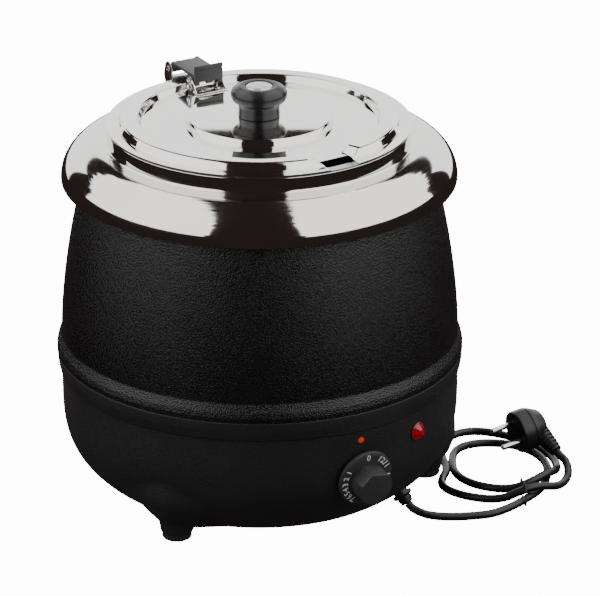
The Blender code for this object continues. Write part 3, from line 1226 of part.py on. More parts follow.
def build_cord():
    """The power cord laid in two loose turns, its plug and the tie round it."""
    axis = SCENE.axis
    gland = gland_frame()
    mouth = gland @ Vector((0, 0, GLAND_OUT + TOUCH))
    straight = gland @ Vector((0, 0, GLAND_OUT + 0.003))
    plug = plug_frame()
    root = plug @ Vector((0, 0, -PLUG_DEPTH - 0.002))
    tail_end = Vector(TAIL_END)
    along = (tail_end - root).normalized()
    last = tail_end + along * 2 * TOUCH
    route = [mouth, straight] + hand_route(CORD_ROUTE_MM) + [last + along * 0.006, last]
    points = smooth_route(route, CORD_STEP)
    tube("power_cord", points, CORD_R, axis, RUBBER)
    tie = hand_route(TIE_ROUTE_MM)
    tube("cord_tie", smooth_route(tie, TIE_STEP, closed=True), TIE_R, axis, RUBBER, closed=True)

    profile = [
        (0, 0), (PLUG_R - 0.001, 0), (PLUG_R, -0.001), (PLUG_R, -PLUG_DEPTH * 0.7), (PLUG_R * 0.88, -PLUG_DEPTH),
        (PLUG_BACK_R, -PLUG_DEPTH - PLUG_BACK), (0, -PLUG_DEPTH - PLUG_BACK),
    ]
    body = turned("plug_body", profile, axis, BLACK_PLASTIC, 24, matrix=plug)
    aim = along.to_track_quat("Z", "Y").to_matrix().to_4x4()
    length = (tail_end - root).length
    unite(
        body,
        cone(
            "plug_tail", TAIL_ROOT_R, TAIL_TIP_R, 0, length, axis, None, 16, Matrix.Translation(root) @ aim, cutter=True
        ),
    )
    for sign, word in ((-1, "lower"), (1, "upper")):
        place = plug @ Matrix.Translation((0, sign * PLUG_PIN_PITCH / 2, TOUCH))
        profile = [
            (0, PLUG_PIN_L), (PLUG_PIN_R * 0.6, PLUG_PIN_L - 0.0002), (PLUG_PIN_R, PLUG_PIN_L - 0.0016), (PLUG_PIN_R, 0),
            (0, 0),
        ]
        turned(f"plug_pin_{word}", profile, axis, NICKEL, 12, matrix=place)


build_base()
build_body()
build_heater()
build_dial()
build_indicators()
build_wiring()
build_pot()
build_lid()
build_hinge()
build_cord()
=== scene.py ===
"""Looks of a ten-litre wet-heat soup kettle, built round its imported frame.

Each sub-assembly is a class whose fields are its sizes in metres. Its methods model the pieces with bmesh and
dress them. Heights are above the floor, and radii are about the kettle's own axis.
"""

from __future__ import annotations

import json
import logging
import math
from dataclasses import dataclass, field
from enum import Enum
from typing import Callable, Iterable, Sequence

import bmesh
import bpy
from mathutils import Matrix, Vector

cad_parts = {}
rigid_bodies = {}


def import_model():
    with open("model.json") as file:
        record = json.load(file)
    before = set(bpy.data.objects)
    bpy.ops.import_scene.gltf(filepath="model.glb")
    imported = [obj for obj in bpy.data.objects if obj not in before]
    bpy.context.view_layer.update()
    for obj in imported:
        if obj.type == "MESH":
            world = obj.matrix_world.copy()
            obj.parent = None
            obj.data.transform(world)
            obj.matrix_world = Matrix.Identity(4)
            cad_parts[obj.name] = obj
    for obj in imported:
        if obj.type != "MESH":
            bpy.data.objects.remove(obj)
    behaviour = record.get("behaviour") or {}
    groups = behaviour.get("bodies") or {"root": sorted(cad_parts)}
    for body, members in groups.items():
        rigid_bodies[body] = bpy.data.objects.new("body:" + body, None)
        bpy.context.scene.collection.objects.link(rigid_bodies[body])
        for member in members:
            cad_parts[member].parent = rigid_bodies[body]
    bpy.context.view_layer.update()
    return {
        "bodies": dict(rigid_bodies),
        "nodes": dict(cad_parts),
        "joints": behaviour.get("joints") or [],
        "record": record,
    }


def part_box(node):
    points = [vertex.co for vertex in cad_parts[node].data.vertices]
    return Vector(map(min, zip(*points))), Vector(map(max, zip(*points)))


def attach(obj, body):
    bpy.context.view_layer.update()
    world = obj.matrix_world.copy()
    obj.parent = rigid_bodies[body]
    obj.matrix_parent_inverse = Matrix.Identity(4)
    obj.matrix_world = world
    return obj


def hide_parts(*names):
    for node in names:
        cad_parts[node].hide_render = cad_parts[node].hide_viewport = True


LOG = logging.getLogger("soup_kettle")
Profile = list[tuple[float, float]]
Corner = tuple[float, float, float]
Route = list[Vector]

FINE = 160  # steps round the body
MEDIUM = 96
SMALL = 48
SHARP = math.radians(38)
TOUCH = 0.0003  # gap between pieces that rest on each other
POT_TURN = math.radians(-1.5)  # how the pot and lid hang in the well


class Body(str, Enum):
    """The rigid bodies that pieces ride on."""

    BASE = "body"
    DIAL = "dial"
    POT = "pot"
    LID = "lid"


# Mesh making


def rounded(corners: Sequence[Corner], steps: int = 6) -> Profile:
    """Turns corners into a profile with round bends.

    Args:
        corners: (radius, height, bend radius) of each corner, in order.
        steps: how many steps each bend takes.

    Returns:
        The profile's points.
    """
    points: Profile = []
    for i, (r, z, bend) in enumerate(corners):
        if bend <= 0 or i in (0, len(corners) - 1):
            points.append((r, z))
            continue
        here = Vector((r, z))
        back = Vector(corners[i - 1][:2]) - here
        ahead = Vector(corners[i + 1][:2]) - here
        half = back.angle(ahead) / 2
        reach = min(bend / math.tan(half), 0.49 * back.length, 0.49 * ahead.length)
        centre = here + (back.normalized() + ahead.normalized()).normalized() * (reach / math.cos(half))
        first = here + back.normalized() * reach - centre
        last = here + ahead.normalized() * reach - centre
        sweep = first.angle_signed(last)
        points += [tuple(centre + Matrix.Rotation(-sweep * k / steps, 2) @ first) for k in range(steps + 1)]
    return points


def walled(outer: Profile, wall: float) -> Profile:
    """Closes a profile that runs down its outer side with a second skin inside it.

    Args:
        outer: the outer skin, top to bottom.
        wall: the sheet's thickness.

    Returns:
        A closed section: the outer skin and then the inner one, back to the top.
    """
    inner: Profile = []
    for i, (r, z) in enumerate(outer):
        before = Vector(outer[max(0, i - 1)])
        after = Vector(outer[min(len(outer) - 1, i + 1)])
        along = (after - before).normalized()
        inner.append((max(0.0, r + along.y * wall), z - along.x * wall))
    return list(outer) + inner[::-1]


def spun(profile: Profile, steps: int, closed: bool = False) -> bmesh.types.BMesh:
    """Spins a profile round Z.

    Args:
        profile: points (radius, height).
        steps: how many faces go round.
        closed: whether the last point joins the first, as on a ring or a walled shell.

    Returns:
        The spun surface with its poles merged and its faces pointing out.
    """
    bm = bmesh.new()
    points = [bm.verts.new((r, 0.0, z)) for r, z in profile]
    edges = [bm.edges.new(pair) for pair in zip(points, points[1:])]
    if closed:
        edges.append(bm.edges.new((points[-1], points[0])))
    bmesh.ops.spin(
        bm, geom=points + edges, cent=(0, 0, 0), axis=(0, 0, 1), angle=math.tau, steps=steps, use_merge=True
    )
    bmesh.ops.remove_doubles(bm, verts=bm.verts, dist=0.000002)
    bmesh.ops.dissolve_degenerate(bm, edges=bm.edges, dist=0.000001)
    bmesh.ops.recalc_face_normals(bm, faces=bm.faces)
    return bm


def slab(outline: Profile, low: float, high: float, edge: float) -> bmesh.types.BMesh:
    """Extrudes a flat outline (u, v) along Z and softens its edges.

    Args:
        outline: the outline's corners, in order.
        low: where the slab starts along Z.
        high: where it ends.
        edge: the width of the bevel on its sharp edges.

    Returns:
        The closed slab.
    """
    bm = bmesh.new()
    points = [bm.verts.new((u, v, low)) for u, v in outline]
    edges = [bm.edges.new(pair) for pair in zip(points, points[1:] + points[:1])]
    face = bmesh.ops.contextual_create(bm, geom=edges)["faces"]
    raised = bmesh.ops.extrude_face_region(bm, geom=face)["geom"]
    moved = [v for v in raised if isinstance(v, bmesh.types.BMVert)]
    bmesh.ops.translate(bm, vec=(0, 0, high - low), verts=moved)
    bmesh.ops.recalc_face_normals(bm, faces=bm.faces)
    soften(bm, edge)
    return bm


def soften(bm: bmesh.types.BMesh, width: float, segments: int = 2, angle: float = 30.0) -> None:
    """Bevels the edges of a closed mesh that are sharper than an angle.

    Args:
        bm: the mesh.
        width: the bevel's width.
        segments: its steps.
        angle: the least angle between faces, in degrees.
    """
    sharp = [e for e in bm.edges if len(e.link_faces) == 2 and e.calc_face_angle() > math.radians(angle)]
    bmesh.ops.bevel(
        bm, geom=sharp, offset=width, segments=segments, profile=0.5, affect="EDGES", material=-1, clamp_overlap=True
    )


def block(size: Sequence[float], centre: Sequence[float], edge: float = 0.0) -> bmesh.types.BMesh:
    """Makes a box with softened edges.

    Args:
        size: its sizes along X, Y and Z.
        centre: its middle.
        edge: the width of its bevels.

    Returns:
        The closed box.
    """
    bm = bmesh.new()
    bmesh.ops.create_cube(bm, size=1.0)
    bmesh.ops.scale(bm, vec=size, verts=bm.verts)
    bmesh.ops.translate(bm, vec=centre, verts=bm.verts)
    if edge:
        soften(bm, edge)
    return bm


def merged(*parts: bmesh.types.BMesh) -> bmesh.types.BMesh:
    """Puts several closed meshes into the first one and returns it."""
    whole = parts[0]
    for part in parts[1:]:
        carrier = bpy.data.meshes.new("carrier")
        part.to_mesh(carrier)
        part.free()
        whole.from_mesh(carrier)
        bpy.data.meshes.remove(carrier)
    return whole


def smooth_route(points: Sequence[Vector], step: float, closed: bool = False) -> Route:
    """Lays evenly spaced points along a smooth curve through the given ones.

    Args:
        points: what the curve goes through.
        step: about how far apart the new points are.
        closed: whether the curve is a loop.

    Returns:
        The new points.
    """
    count = len(points)
    dense: Route = []
    for i in range(count if closed else count - 1):
        if closed:
            a, b, c, d = (points[(i + k) % count] for k in (-1, 0, 1, 2))
        else:
            b, c = points[i], points[i + 1]
            a = points[i - 1] if i else b * 2 - c
            d = points[i + 2] if i + 2 < count else c * 2 - b
        for k in range(12):
            t = k / 12
            dense.append(
                0.5 * (2 * b + (c - a) * t + (2 * a - 5 * b + 4 * c - d) * t**2 + (3 * b - a - 3 * c + d) * t**3)
            )
    dense.append(points[0] if closed else points[-1])
    lengths = [0.0]
    for first, second in zip(dense, dense[1:]):
        lengths.append(lengths[-1] + (second - first).length)
    pieces = max(2, round(lengths[-1] / step))
    route: Route = []
    at = 0
    for k in range(pieces if closed else pieces + 1):
        wanted = lengths[-1] * k / pieces
        while at < len(lengths) - 2 and lengths[at + 1] < wanted:
            at += 1
        share = (wanted - lengths[at]) / (lengths[at + 1] - lengths[at])
        route.append(dense[at].lerp(dense[at + 1], share))
    return route


def lathed(corners: Sequence[Corner], bends: int, steps: int, closed: bool = False) -> bmesh.types.BMesh:
    """Spins rounded corners round Z: bends are the steps of each bend, and steps go round."""
    return spun(rounded(corners, bends), steps, closed)


def linked(obj: bpy.types.Object) -> bpy.types.Object:
    """Puts an object in the scene and returns it."""
    bpy.context.scene.collection.objects.link(obj)
    return obj


def as_object(name: str, bm: bmesh.types.BMesh) -> bpy.types.Object:
    """Makes an object in the scene of a mesh, which is freed."""
    mesh = bpy.data.meshes.new(name)
    bm.to_mesh(mesh)
    bm.free()
    return linked(bpy.data.objects.new(name, mesh))


def ease(value: float, low: float, high: float) -> float:
    """Rises smoothly from 0 at low to 1 at high."""
    t = min(1.0, max(0.0, (value - low) / (high - low)))
    return t * t * (3 - 2 * t)


# Finishes

CLOUD_SCALE = 14.0  # clouds a metre in paint and mouldings


class Nodes:
    """A node tree with short ways to fill it."""

    def __init__(self, tree: bpy.types.NodeTree) -> None:
        """Takes the tree to fill."""
        self.tree = tree

    def node(self, kind: str, inputs: dict[str | int, object] | None = None, **settings: object) -> bpy.types.Node:
        """Adds a node, by its kind without the usual prefix, and sets its properties and then its inputs."""
        made = self.tree.nodes.new(f"ShaderNode{kind}")
        for key, value in settings.items():
            setattr(made, key, value)
        self.fill(made, inputs or {})
        return made

    def fill(self, node: bpy.types.Node, inputs: dict[str | int, object]) -> None:
        """Links each input to the socket given for it, or sets its value."""
        for key, value in inputs.items():
            if isinstance(value, bpy.types.NodeSocket):
                self.tree.links.new(value, node.inputs[key])
            else:
                node.inputs[key].default_value = value


class Shader(Nodes):
    """A material's node tree."""

    def __init__(self, name: str) -> None:
        """Starts a material with its Principled BSDF."""
        self.material = bpy.data.materials.new(name)
        self.material.use_nodes = True
        super().__init__(self.material.node_tree)
        self.surface = self.tree.nodes["Principled BSDF"]

    def place(self, centre: Vector) -> bpy.types.NodeSocket:
        """Gives Object coordinates, moved so that centre is their origin."""
        coordinates = self.node("TexCoord").outputs["Object"]
        return self.node("Mapping", {"Location": -centre, "Vector": coordinates}).outputs["Vector"]

    def group(self, group: bpy.types.NodeTree, vector: bpy.types.NodeSocket, **values: float) -> bpy.types.Node:
        """Places a shared effect with its own values."""
        return self.node("Group", {"Vector": vector, **values}, node_tree=group)

    def spread(self, value: bpy.types.NodeSocket, low: float, high: float) -> bpy.types.NodeSocket:
        """Maps a mask of 0 to 1 onto low to high."""
        return self.node("MapRange", {"Value": value, "To Min": low, "To Max": high}).outputs["Result"]

    def tint(
        self, mask: bpy.types.NodeSocket, dark: Sequence[float], light: Sequence[float]
    ) -> bpy.types.NodeSocket:
        """Mixes two colours by a mask."""
        return self.node("Mix", {0: mask, 6: (*dark, 1.0), 7: (*light, 1.0)}, data_type="RGBA").outputs[2]

    def bump(self, height: bpy.types.NodeSocket, distance: float, strength: float) -> bpy.types.NodeSocket:
        """Gives the normal of a bumped height map."""
        return self.node("Bump", {"Height": height, "Distance": distance, "Strength": strength}).outputs["Normal"]


class Effects:
    """The shader effects that several finishes share, each built once."""

    def __init__(self) -> None:
        """Builds the groups."""
        self.peel = self._peel()
        self.haze = self._haze()
        self.rings = self._rings()

    @staticmethod
    def _start(name: str, inputs: dict[str, float], outputs: Iterable[str]) -> tuple:
        """Starts a group with a vector, named values and outputs."""
        tree = bpy.data.node_groups.new(name, "ShaderNodeTree")
        tree.interface.new_socket("Vector", in_out="INPUT", socket_type="NodeSocketVector")
        for key, value in inputs.items():
            tree.interface.new_socket(key, in_out="INPUT", socket_type="NodeSocketFloat").default_value = value
        for key in outputs:
            tree.interface.new_socket(key, in_out="OUTPUT", socket_type="NodeSocketFloat")
        return Nodes(tree), tree.nodes.new("NodeGroupInput").outputs, tree.nodes.new("NodeGroupOutput")

    def _peel(self) -> bpy.types.NodeTree:
        """Leathery beads of a thick paint or a moulding's grain: Height and the Pits between them."""
        nodes, given, out = self._start("peel", {"Scale": 500.0, "Warp": 0.35}, ("Height", "Pits"))
        vector, scale = given["Vector"], given["Scale"]
        coarse = nodes.node("Math", {0: scale, 1: 0.6}, operation="MULTIPLY").outputs[0]
        warp = nodes.node("TexNoise", {"Vector": vector, "Scale": coarse, "Detail": 2.0}).outputs["Color"]
        reach = nodes.node("Math", {0: given["Warp"], 1: scale}, operation="DIVIDE").outputs[0]
        push = nodes.node("VectorMath", {0: warp, "Scale": reach}, operation="SCALE").outputs[0]
        moved = nodes.node("VectorMath", {0: vector, 1: push}).outputs[0]
        cells = nodes.node("TexVoronoi", {"Vector": moved, "Scale": scale, "Smoothness": 0.7}, feature="SMOOTH_F1")
        deep = cells.outputs["Distance"]
        rise = nodes.node("MapRange", {"Value": deep, "From Min": 0.1, "From Max": 0.75, "To Min": 1.0, "To Max": 0.0})
        pits = nodes.node("MapRange", {"Value": deep, "From Min": 0.35, "From Max": 0.8})
        nodes.fill(out, {"Height": rise.outputs["Result"], "Pits": pits.outputs["Result"]})
        return nodes.tree

    def _haze(self) -> bpy.types.NodeTree:
        """Soft clouds, as of handling and polishing: Value."""
        nodes, given, out = self._start("haze", {"Scale": 20.0, "Contrast": 0.3}, ("Value",))
        inputs = {"Vector": given["Vector"], "Scale": given["Scale"], "Detail": 5.0, "Roughness": 0.6}
        clouds = nodes.node("TexNoise", inputs).outputs["Fac"]
        top = nodes.node("Math", {0: 1.0, 1: given["Contrast"]}, operation="SUBTRACT").outputs[0]
        spread = nodes.node("MapRange", {"Value": clouds, "From Min": given["Contrast"], "From Max": top})
        nodes.fill(out, {"Value": spread.outputs["Result"]})
        return nodes.tree

    def _rings(self) -> bpy.types.NodeTree:
        """Fine lines round Z, as a lathe or a spinning tool leaves: Height."""
        nodes, given, out = self._start("rings", {"Scale": 2500.0}, ("Height",))
        parts = nodes.node("SeparateXYZ", {0: given["Vector"]}).outputs
        flat = nodes.node("CombineXYZ", {"X": parts["X"], "Y": parts["Y"]}).outputs[0]
        radius = nodes.node("VectorMath", {0: flat}, operation="LENGTH").outputs["Value"]
        line = nodes.node("CombineXYZ", {"X": radius, "Y": parts["Z"]}).outputs[0]
        noise = nodes.node("TexNoise", {"Vector": line, "Scale": given["Scale"], "Detail": 2.0}, noise_dimensions="2D")
        nodes.fill(out, {"Height": noise.outputs["Fac"]})
        return nodes.tree


@dataclass(frozen=True)
class Grained:
    """A moulded or painted finish: a leathery grain under a satin skin."""

    name: str
    dark: tuple[float, float, float]
    light: tuple[float, float, float]
    roughness: tuple[float, float]
    grain: float  # grains a metre
    depth: float
    strength: float = 0.6
    coat: float = 0.0
    coat_roughness: float = 0.3

    def build(self, effects: Effects, centre: Vector) -> bpy.types.Material:
        """Builds the material round the kettle's axis."""
        shader = Shader(self.name)
        place = shader.place(centre)
        peel = shader.group(effects.peel, place, Scale=self.grain).outputs
        haze = shader.group(effects.haze, place, Scale=CLOUD_SCALE).outputs["Value"]
        skin = {
            "Base Color": shader.tint(haze, self.dark, self.light),
            "Roughness": shader.spread(peel["Pits"], *self.roughness),
            "Normal": shader.bump(peel["Height"], self.depth, self.strength),
            "Coat Weight": self.coat,
            "Coat Roughness": self.coat_roughness,
        }
        shader.fill(shader.surface, skin)
        return shader.material


@dataclass(frozen=True)
class Metal:
    """A metal with faint clouds in its polish and turned or brushed lines."""

    name: str
    color: tuple[float, float, float]
    roughness: tuple[float, float]
    lines: float  # lines a metre
    line_depth: float
    haze: float = 9.0  # clouds a metre
    cloud_shade: float = 0.93
    line_strength: float = 0.5

    def build(self, effects: Effects, centre: Vector) -> bpy.types.Material:
        """Builds the material round the kettle's axis."""
        shader = Shader(self.name)
        place = shader.place(centre)
        haze = shader.group(effects.haze, place, Scale=self.haze).outputs["Value"]
        rings = shader.group(effects.rings, place, Scale=self.lines).outputs["Height"]
        skin = {
            "Base Color": shader.tint(haze, tuple(c * self.cloud_shade for c in self.color), self.color),
            "Roughness": shader.spread(haze, *self.roughness),
            "Metallic": 1.0,
            "Normal": shader.bump(rings, self.line_depth, self.line_strength),
        }
        shader.fill(shader.surface, skin)
        return shader.material


@dataclass(frozen=True)
class Lens:
    """A clear coloured moulding."""

    name: str
    color: tuple[float, float, float]
    transmission: float
    roughness: float = 0.08
    ior: float = 1.49
    haze: float = 220.0
    cloud_shade: float = 0.6

    def build(self, effects: Effects, centre: Vector) -> bpy.types.Material:
        """Builds the material with a faint cloud in its colour."""
        shader = Shader(self.name)
        haze = shader.group(effects.haze, shader.place(centre), Scale=self.haze).outputs["Value"]
        skin = {
            "Base Color": shader.tint(haze, tuple(c * self.cloud_shade for c in self.color), self.color),
            "Roughness": self.roughness,
            "Transmission Weight": self.transmission,
            "IOR": self.ior,
            "Coat Weight": 0.6,
            "Coat Roughness": 0.04,
        }
        shader.fill(shader.surface, skin)
        return shader.material


class Palette:
    """Every finish on the kettle, built once."""

    FINISHES = (
        Grained("powder_coat", (0.0045, 0.0042, 0.0045), (0.008, 0.0075, 0.008), (0.22, 0.36), 900.0, 0.0006, 0.50),
        Grained("base_moulding", (0.011, 0.0105, 0.011), (0.016, 0.015, 0.016), (0.42, 0.55), 900.0, 0.0004, 0.35),
        Grained("dial_moulding", (0.030, 0.031, 0.034), (0.038, 0.039, 0.042), (0.36, 0.44), 1500.0, 0.00015, 0.3),
        Grained("knob_moulding", (0.006, 0.006, 0.0065), (0.010, 0.010, 0.011), (0.26, 0.36), 1600.0, 0.00010, 0.2),
        Grained("arm_moulding", (0.030, 0.030, 0.031), (0.040, 0.040, 0.041), (0.42, 0.52), 1500.0, 0.00015, 0.3),
        Grained("foot_rubber", (0.006, 0.006, 0.006), (0.012, 0.012, 0.012), (0.62, 0.80), 1800.0, 0.0002, 0.4),
        Grained("cord_rubber", (0.004, 0.004, 0.0045), (0.008, 0.008, 0.009), (0.30, 0.42), 1400.0, 0.0001, 0.25),
        Grained("plug_moulding", (0.005, 0.005, 0.0055), (0.009, 0.009, 0.010), (0.34, 0.46), 1500.0, 0.0001, 0.25),
        Grained("nylon", (0.66, 0.65, 0.60), (0.76, 0.75, 0.70), (0.42, 0.52), 1200.0, 0.0001, 0.3),
        Grained("silicone", (0.50, 0.47, 0.43), (0.58, 0.55, 0.50), (0.52, 0.62), 1200.0, 0.0001, 0.3),
        Grained("red_paint", (0.80, 0.022, 0.012), (0.95, 0.05, 0.03), (0.25, 0.35), 1500.0, 0.0001, 0.2, 0.5, 0.1),
        Grained("white_print", (0.80, 0.80, 0.80), (0.92, 0.92, 0.92), (0.45, 0.55), 2500.0, 0.00005, 0.2),
        Metal("mirror_steel", (0.86, 0.845, 0.83), (0.035, 0.075), 900.0, 0.00001),
        Metal("bright_steel", (0.86, 0.85, 0.83), (0.16, 0.24), 1800.0, 0.00004, 40.0),
        Metal("crown_chrome", (0.80, 0.78, 0.765), (0.05, 0.10), 900.0, 0.00001),
        Metal("satin_steel", (0.66, 0.65, 0.64), (0.22, 0.32), 1800.0, 0.00008),
        Metal("cap_silver", (0.86, 0.85, 0.84), (0.24, 0.32), 4000.0, 0.00004, 60.0),
        Metal("zinc_plate", (0.58, 0.57, 0.53), (0.28, 0.42), 2500.0, 0.00004, 40.0),
        Metal("nickel_plate", (0.76, 0.74, 0.70), (0.10, 0.20), 2500.0, 0.00002, 60.0),
        Metal("heater_sheath", (0.24, 0.22, 0.20), (0.38, 0.55), 2500.0, 0.00005, 40.0),
        Metal("copper", (0.78, 0.42, 0.27), (0.25, 0.38), 2500.0, 0.00004, 50.0),
        Lens("lamp_red", (0.78, 0.015, 0.03), 0.45),
    )

    def __init__(self, centre: Vector) -> None:
        """Builds the materials round the kettle's axis."""
        effects = Effects()
        self.made = {finish.name: finish.build(effects, centre) for finish in self.FINISHES}

    def __getitem__(self, name: str) -> bpy.types.Material:
        """The material of that name."""
        return self.made[name]


# Pieces


@dataclass
class Workshop:
    """Where finished meshes become pieces of the kettle."""

    palette: Palette
    axis: Matrix  # from the kettle's axis at floor level to the world
    pot: Matrix  # the same, turned with the pot

    def piece(
        self,
        name: str,
        bm: bmesh.types.BMesh,
        finish: str,
        body: Body,
        slot: str,
        stands_for: Iterable[str] = (),
        place: Matrix | None = None,
        sharp: float = SHARP,
    ) -> bpy.types.Object:
        """Places a mesh, dresses it, and lets it ride on a body.

        Args:
            name: the piece's name.
            bm: its mesh, which is freed.
            finish: the palette's name for its material.
            body: what it rides on.
            slot: the record's material slot; not used.
            stands_for: the frame's nodes that it is shown in place of.
            place: from the mesh's own frame to the world; the kettle's axis if left out.
            sharp: the angle past which its edges stay sharp.

        Returns:
            The piece.
        """
        bmesh.ops.transform(bm, matrix=place or self.axis, verts=bm.verts)
        obj = as_object(name, bm)
        obj.data.shade_smooth()
        obj.data.set_sharp_from_angle(angle=sharp)
        return self.settle(obj, finish, body, slot, stands_for)

    def settle(
        self, obj: bpy.types.Object, finish: str, body: Body, slot: str, stands_for: Iterable[str] = ()
    ) -> bpy.types.Object:
        """Gives an object its material and body, and hides the nodes it stands for."""
        obj.data.materials.append(self.palette[finish])
        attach(obj, body.value)
        nodes = tuple(stands_for)
        if nodes:
            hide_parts(*nodes)
        LOG.info("%s rides on %s", obj.name, body.value)
        return obj

    def tube(self, name: str, route: Route, radius: float, closed: bool = False, sides: int = 5) -> bpy.types.Object:
        """Lays a round tube along points given from the kettle's axis.

        Args:
            name: the tube's name.
            route: its centreline.
            radius: its radius.
            closed: whether it is a loop.
            sides: the bevel's resolution.

        Returns:
            The curve, not yet dressed.
        """
        curve = bpy.data.curves.new(name, "CURVE")
        curve.dimensions = "3D"
        curve.bevel_depth = radius
        curve.bevel_resolution = sides
        curve.use_fill_caps = not closed
        spline = curve.splines.new("POLY")
        spline.points.add(len(route) - 1)
        for point, where in zip(spline.points, route):
            point.co = (*(self.axis @ where), 1.0)
        spline.use_cyclic_u = closed
        spline.use_smooth = True
        return linked(bpy.data.objects.new(name, curve))


def around(angle_deg: float, radius: float, z: float = 0.0) -> Vector:
    """A point at an angle from the front, counter-clockwise seen from above."""
    angle = math.radians(angle_deg)
    return Vector((radius * math.sin(angle), -radius * math.cos(angle), z))


def facing(angle_deg: float, radius: float, z: float, tilt: float = 0.0) -> Matrix:
    """A frame on the wall whose Z points out, tilted down by an angle, and whose Y points up."""
    turn = Matrix.Rotation(math.radians(angle_deg), 4, "Z")
    return Matrix.Translation(around(angle_deg, radius, z)) @ turn @ Matrix.Rotation(math.pi / 2 + tilt, 4, "X")


def across(x: float, y: float, z: float) -> Matrix:
    """A frame whose X is the kettle's Y, whose Y is up and whose Z runs along the kettle's X."""
    return Matrix(((0, 0, 1, x), (1, 0, 0, y), (0, 1, 0, z), (0, 0, 0, 1)))


@dataclass
class Bowl:
    """The base bowl's outer wall, which the dial, lamp, gland and legs sit on."""

    rim_r: float = 0.1663
    top_z: float = 0.095
    floor_r: float = 0.122
    floor_z: float = 0.007
    bottom_z: float = 0.009
    power: float = 3.5

    def radius(self, z: float) -> float:
        """The wall's radius at a height."""
        share = min(1.0, max(0.0, (self.top_z - z) / (self.top_z - self.floor_z)))
        return self.floor_r + (self.rim_r - self.floor_r) * (1 - share**self.power)

    def tilt(self, z: float) -> float:
        """The angle by which the wall faces down at a height."""
        return math.atan2(self.radius(z + 0.0005) - self.radius(z - 0.0005), 0.001)


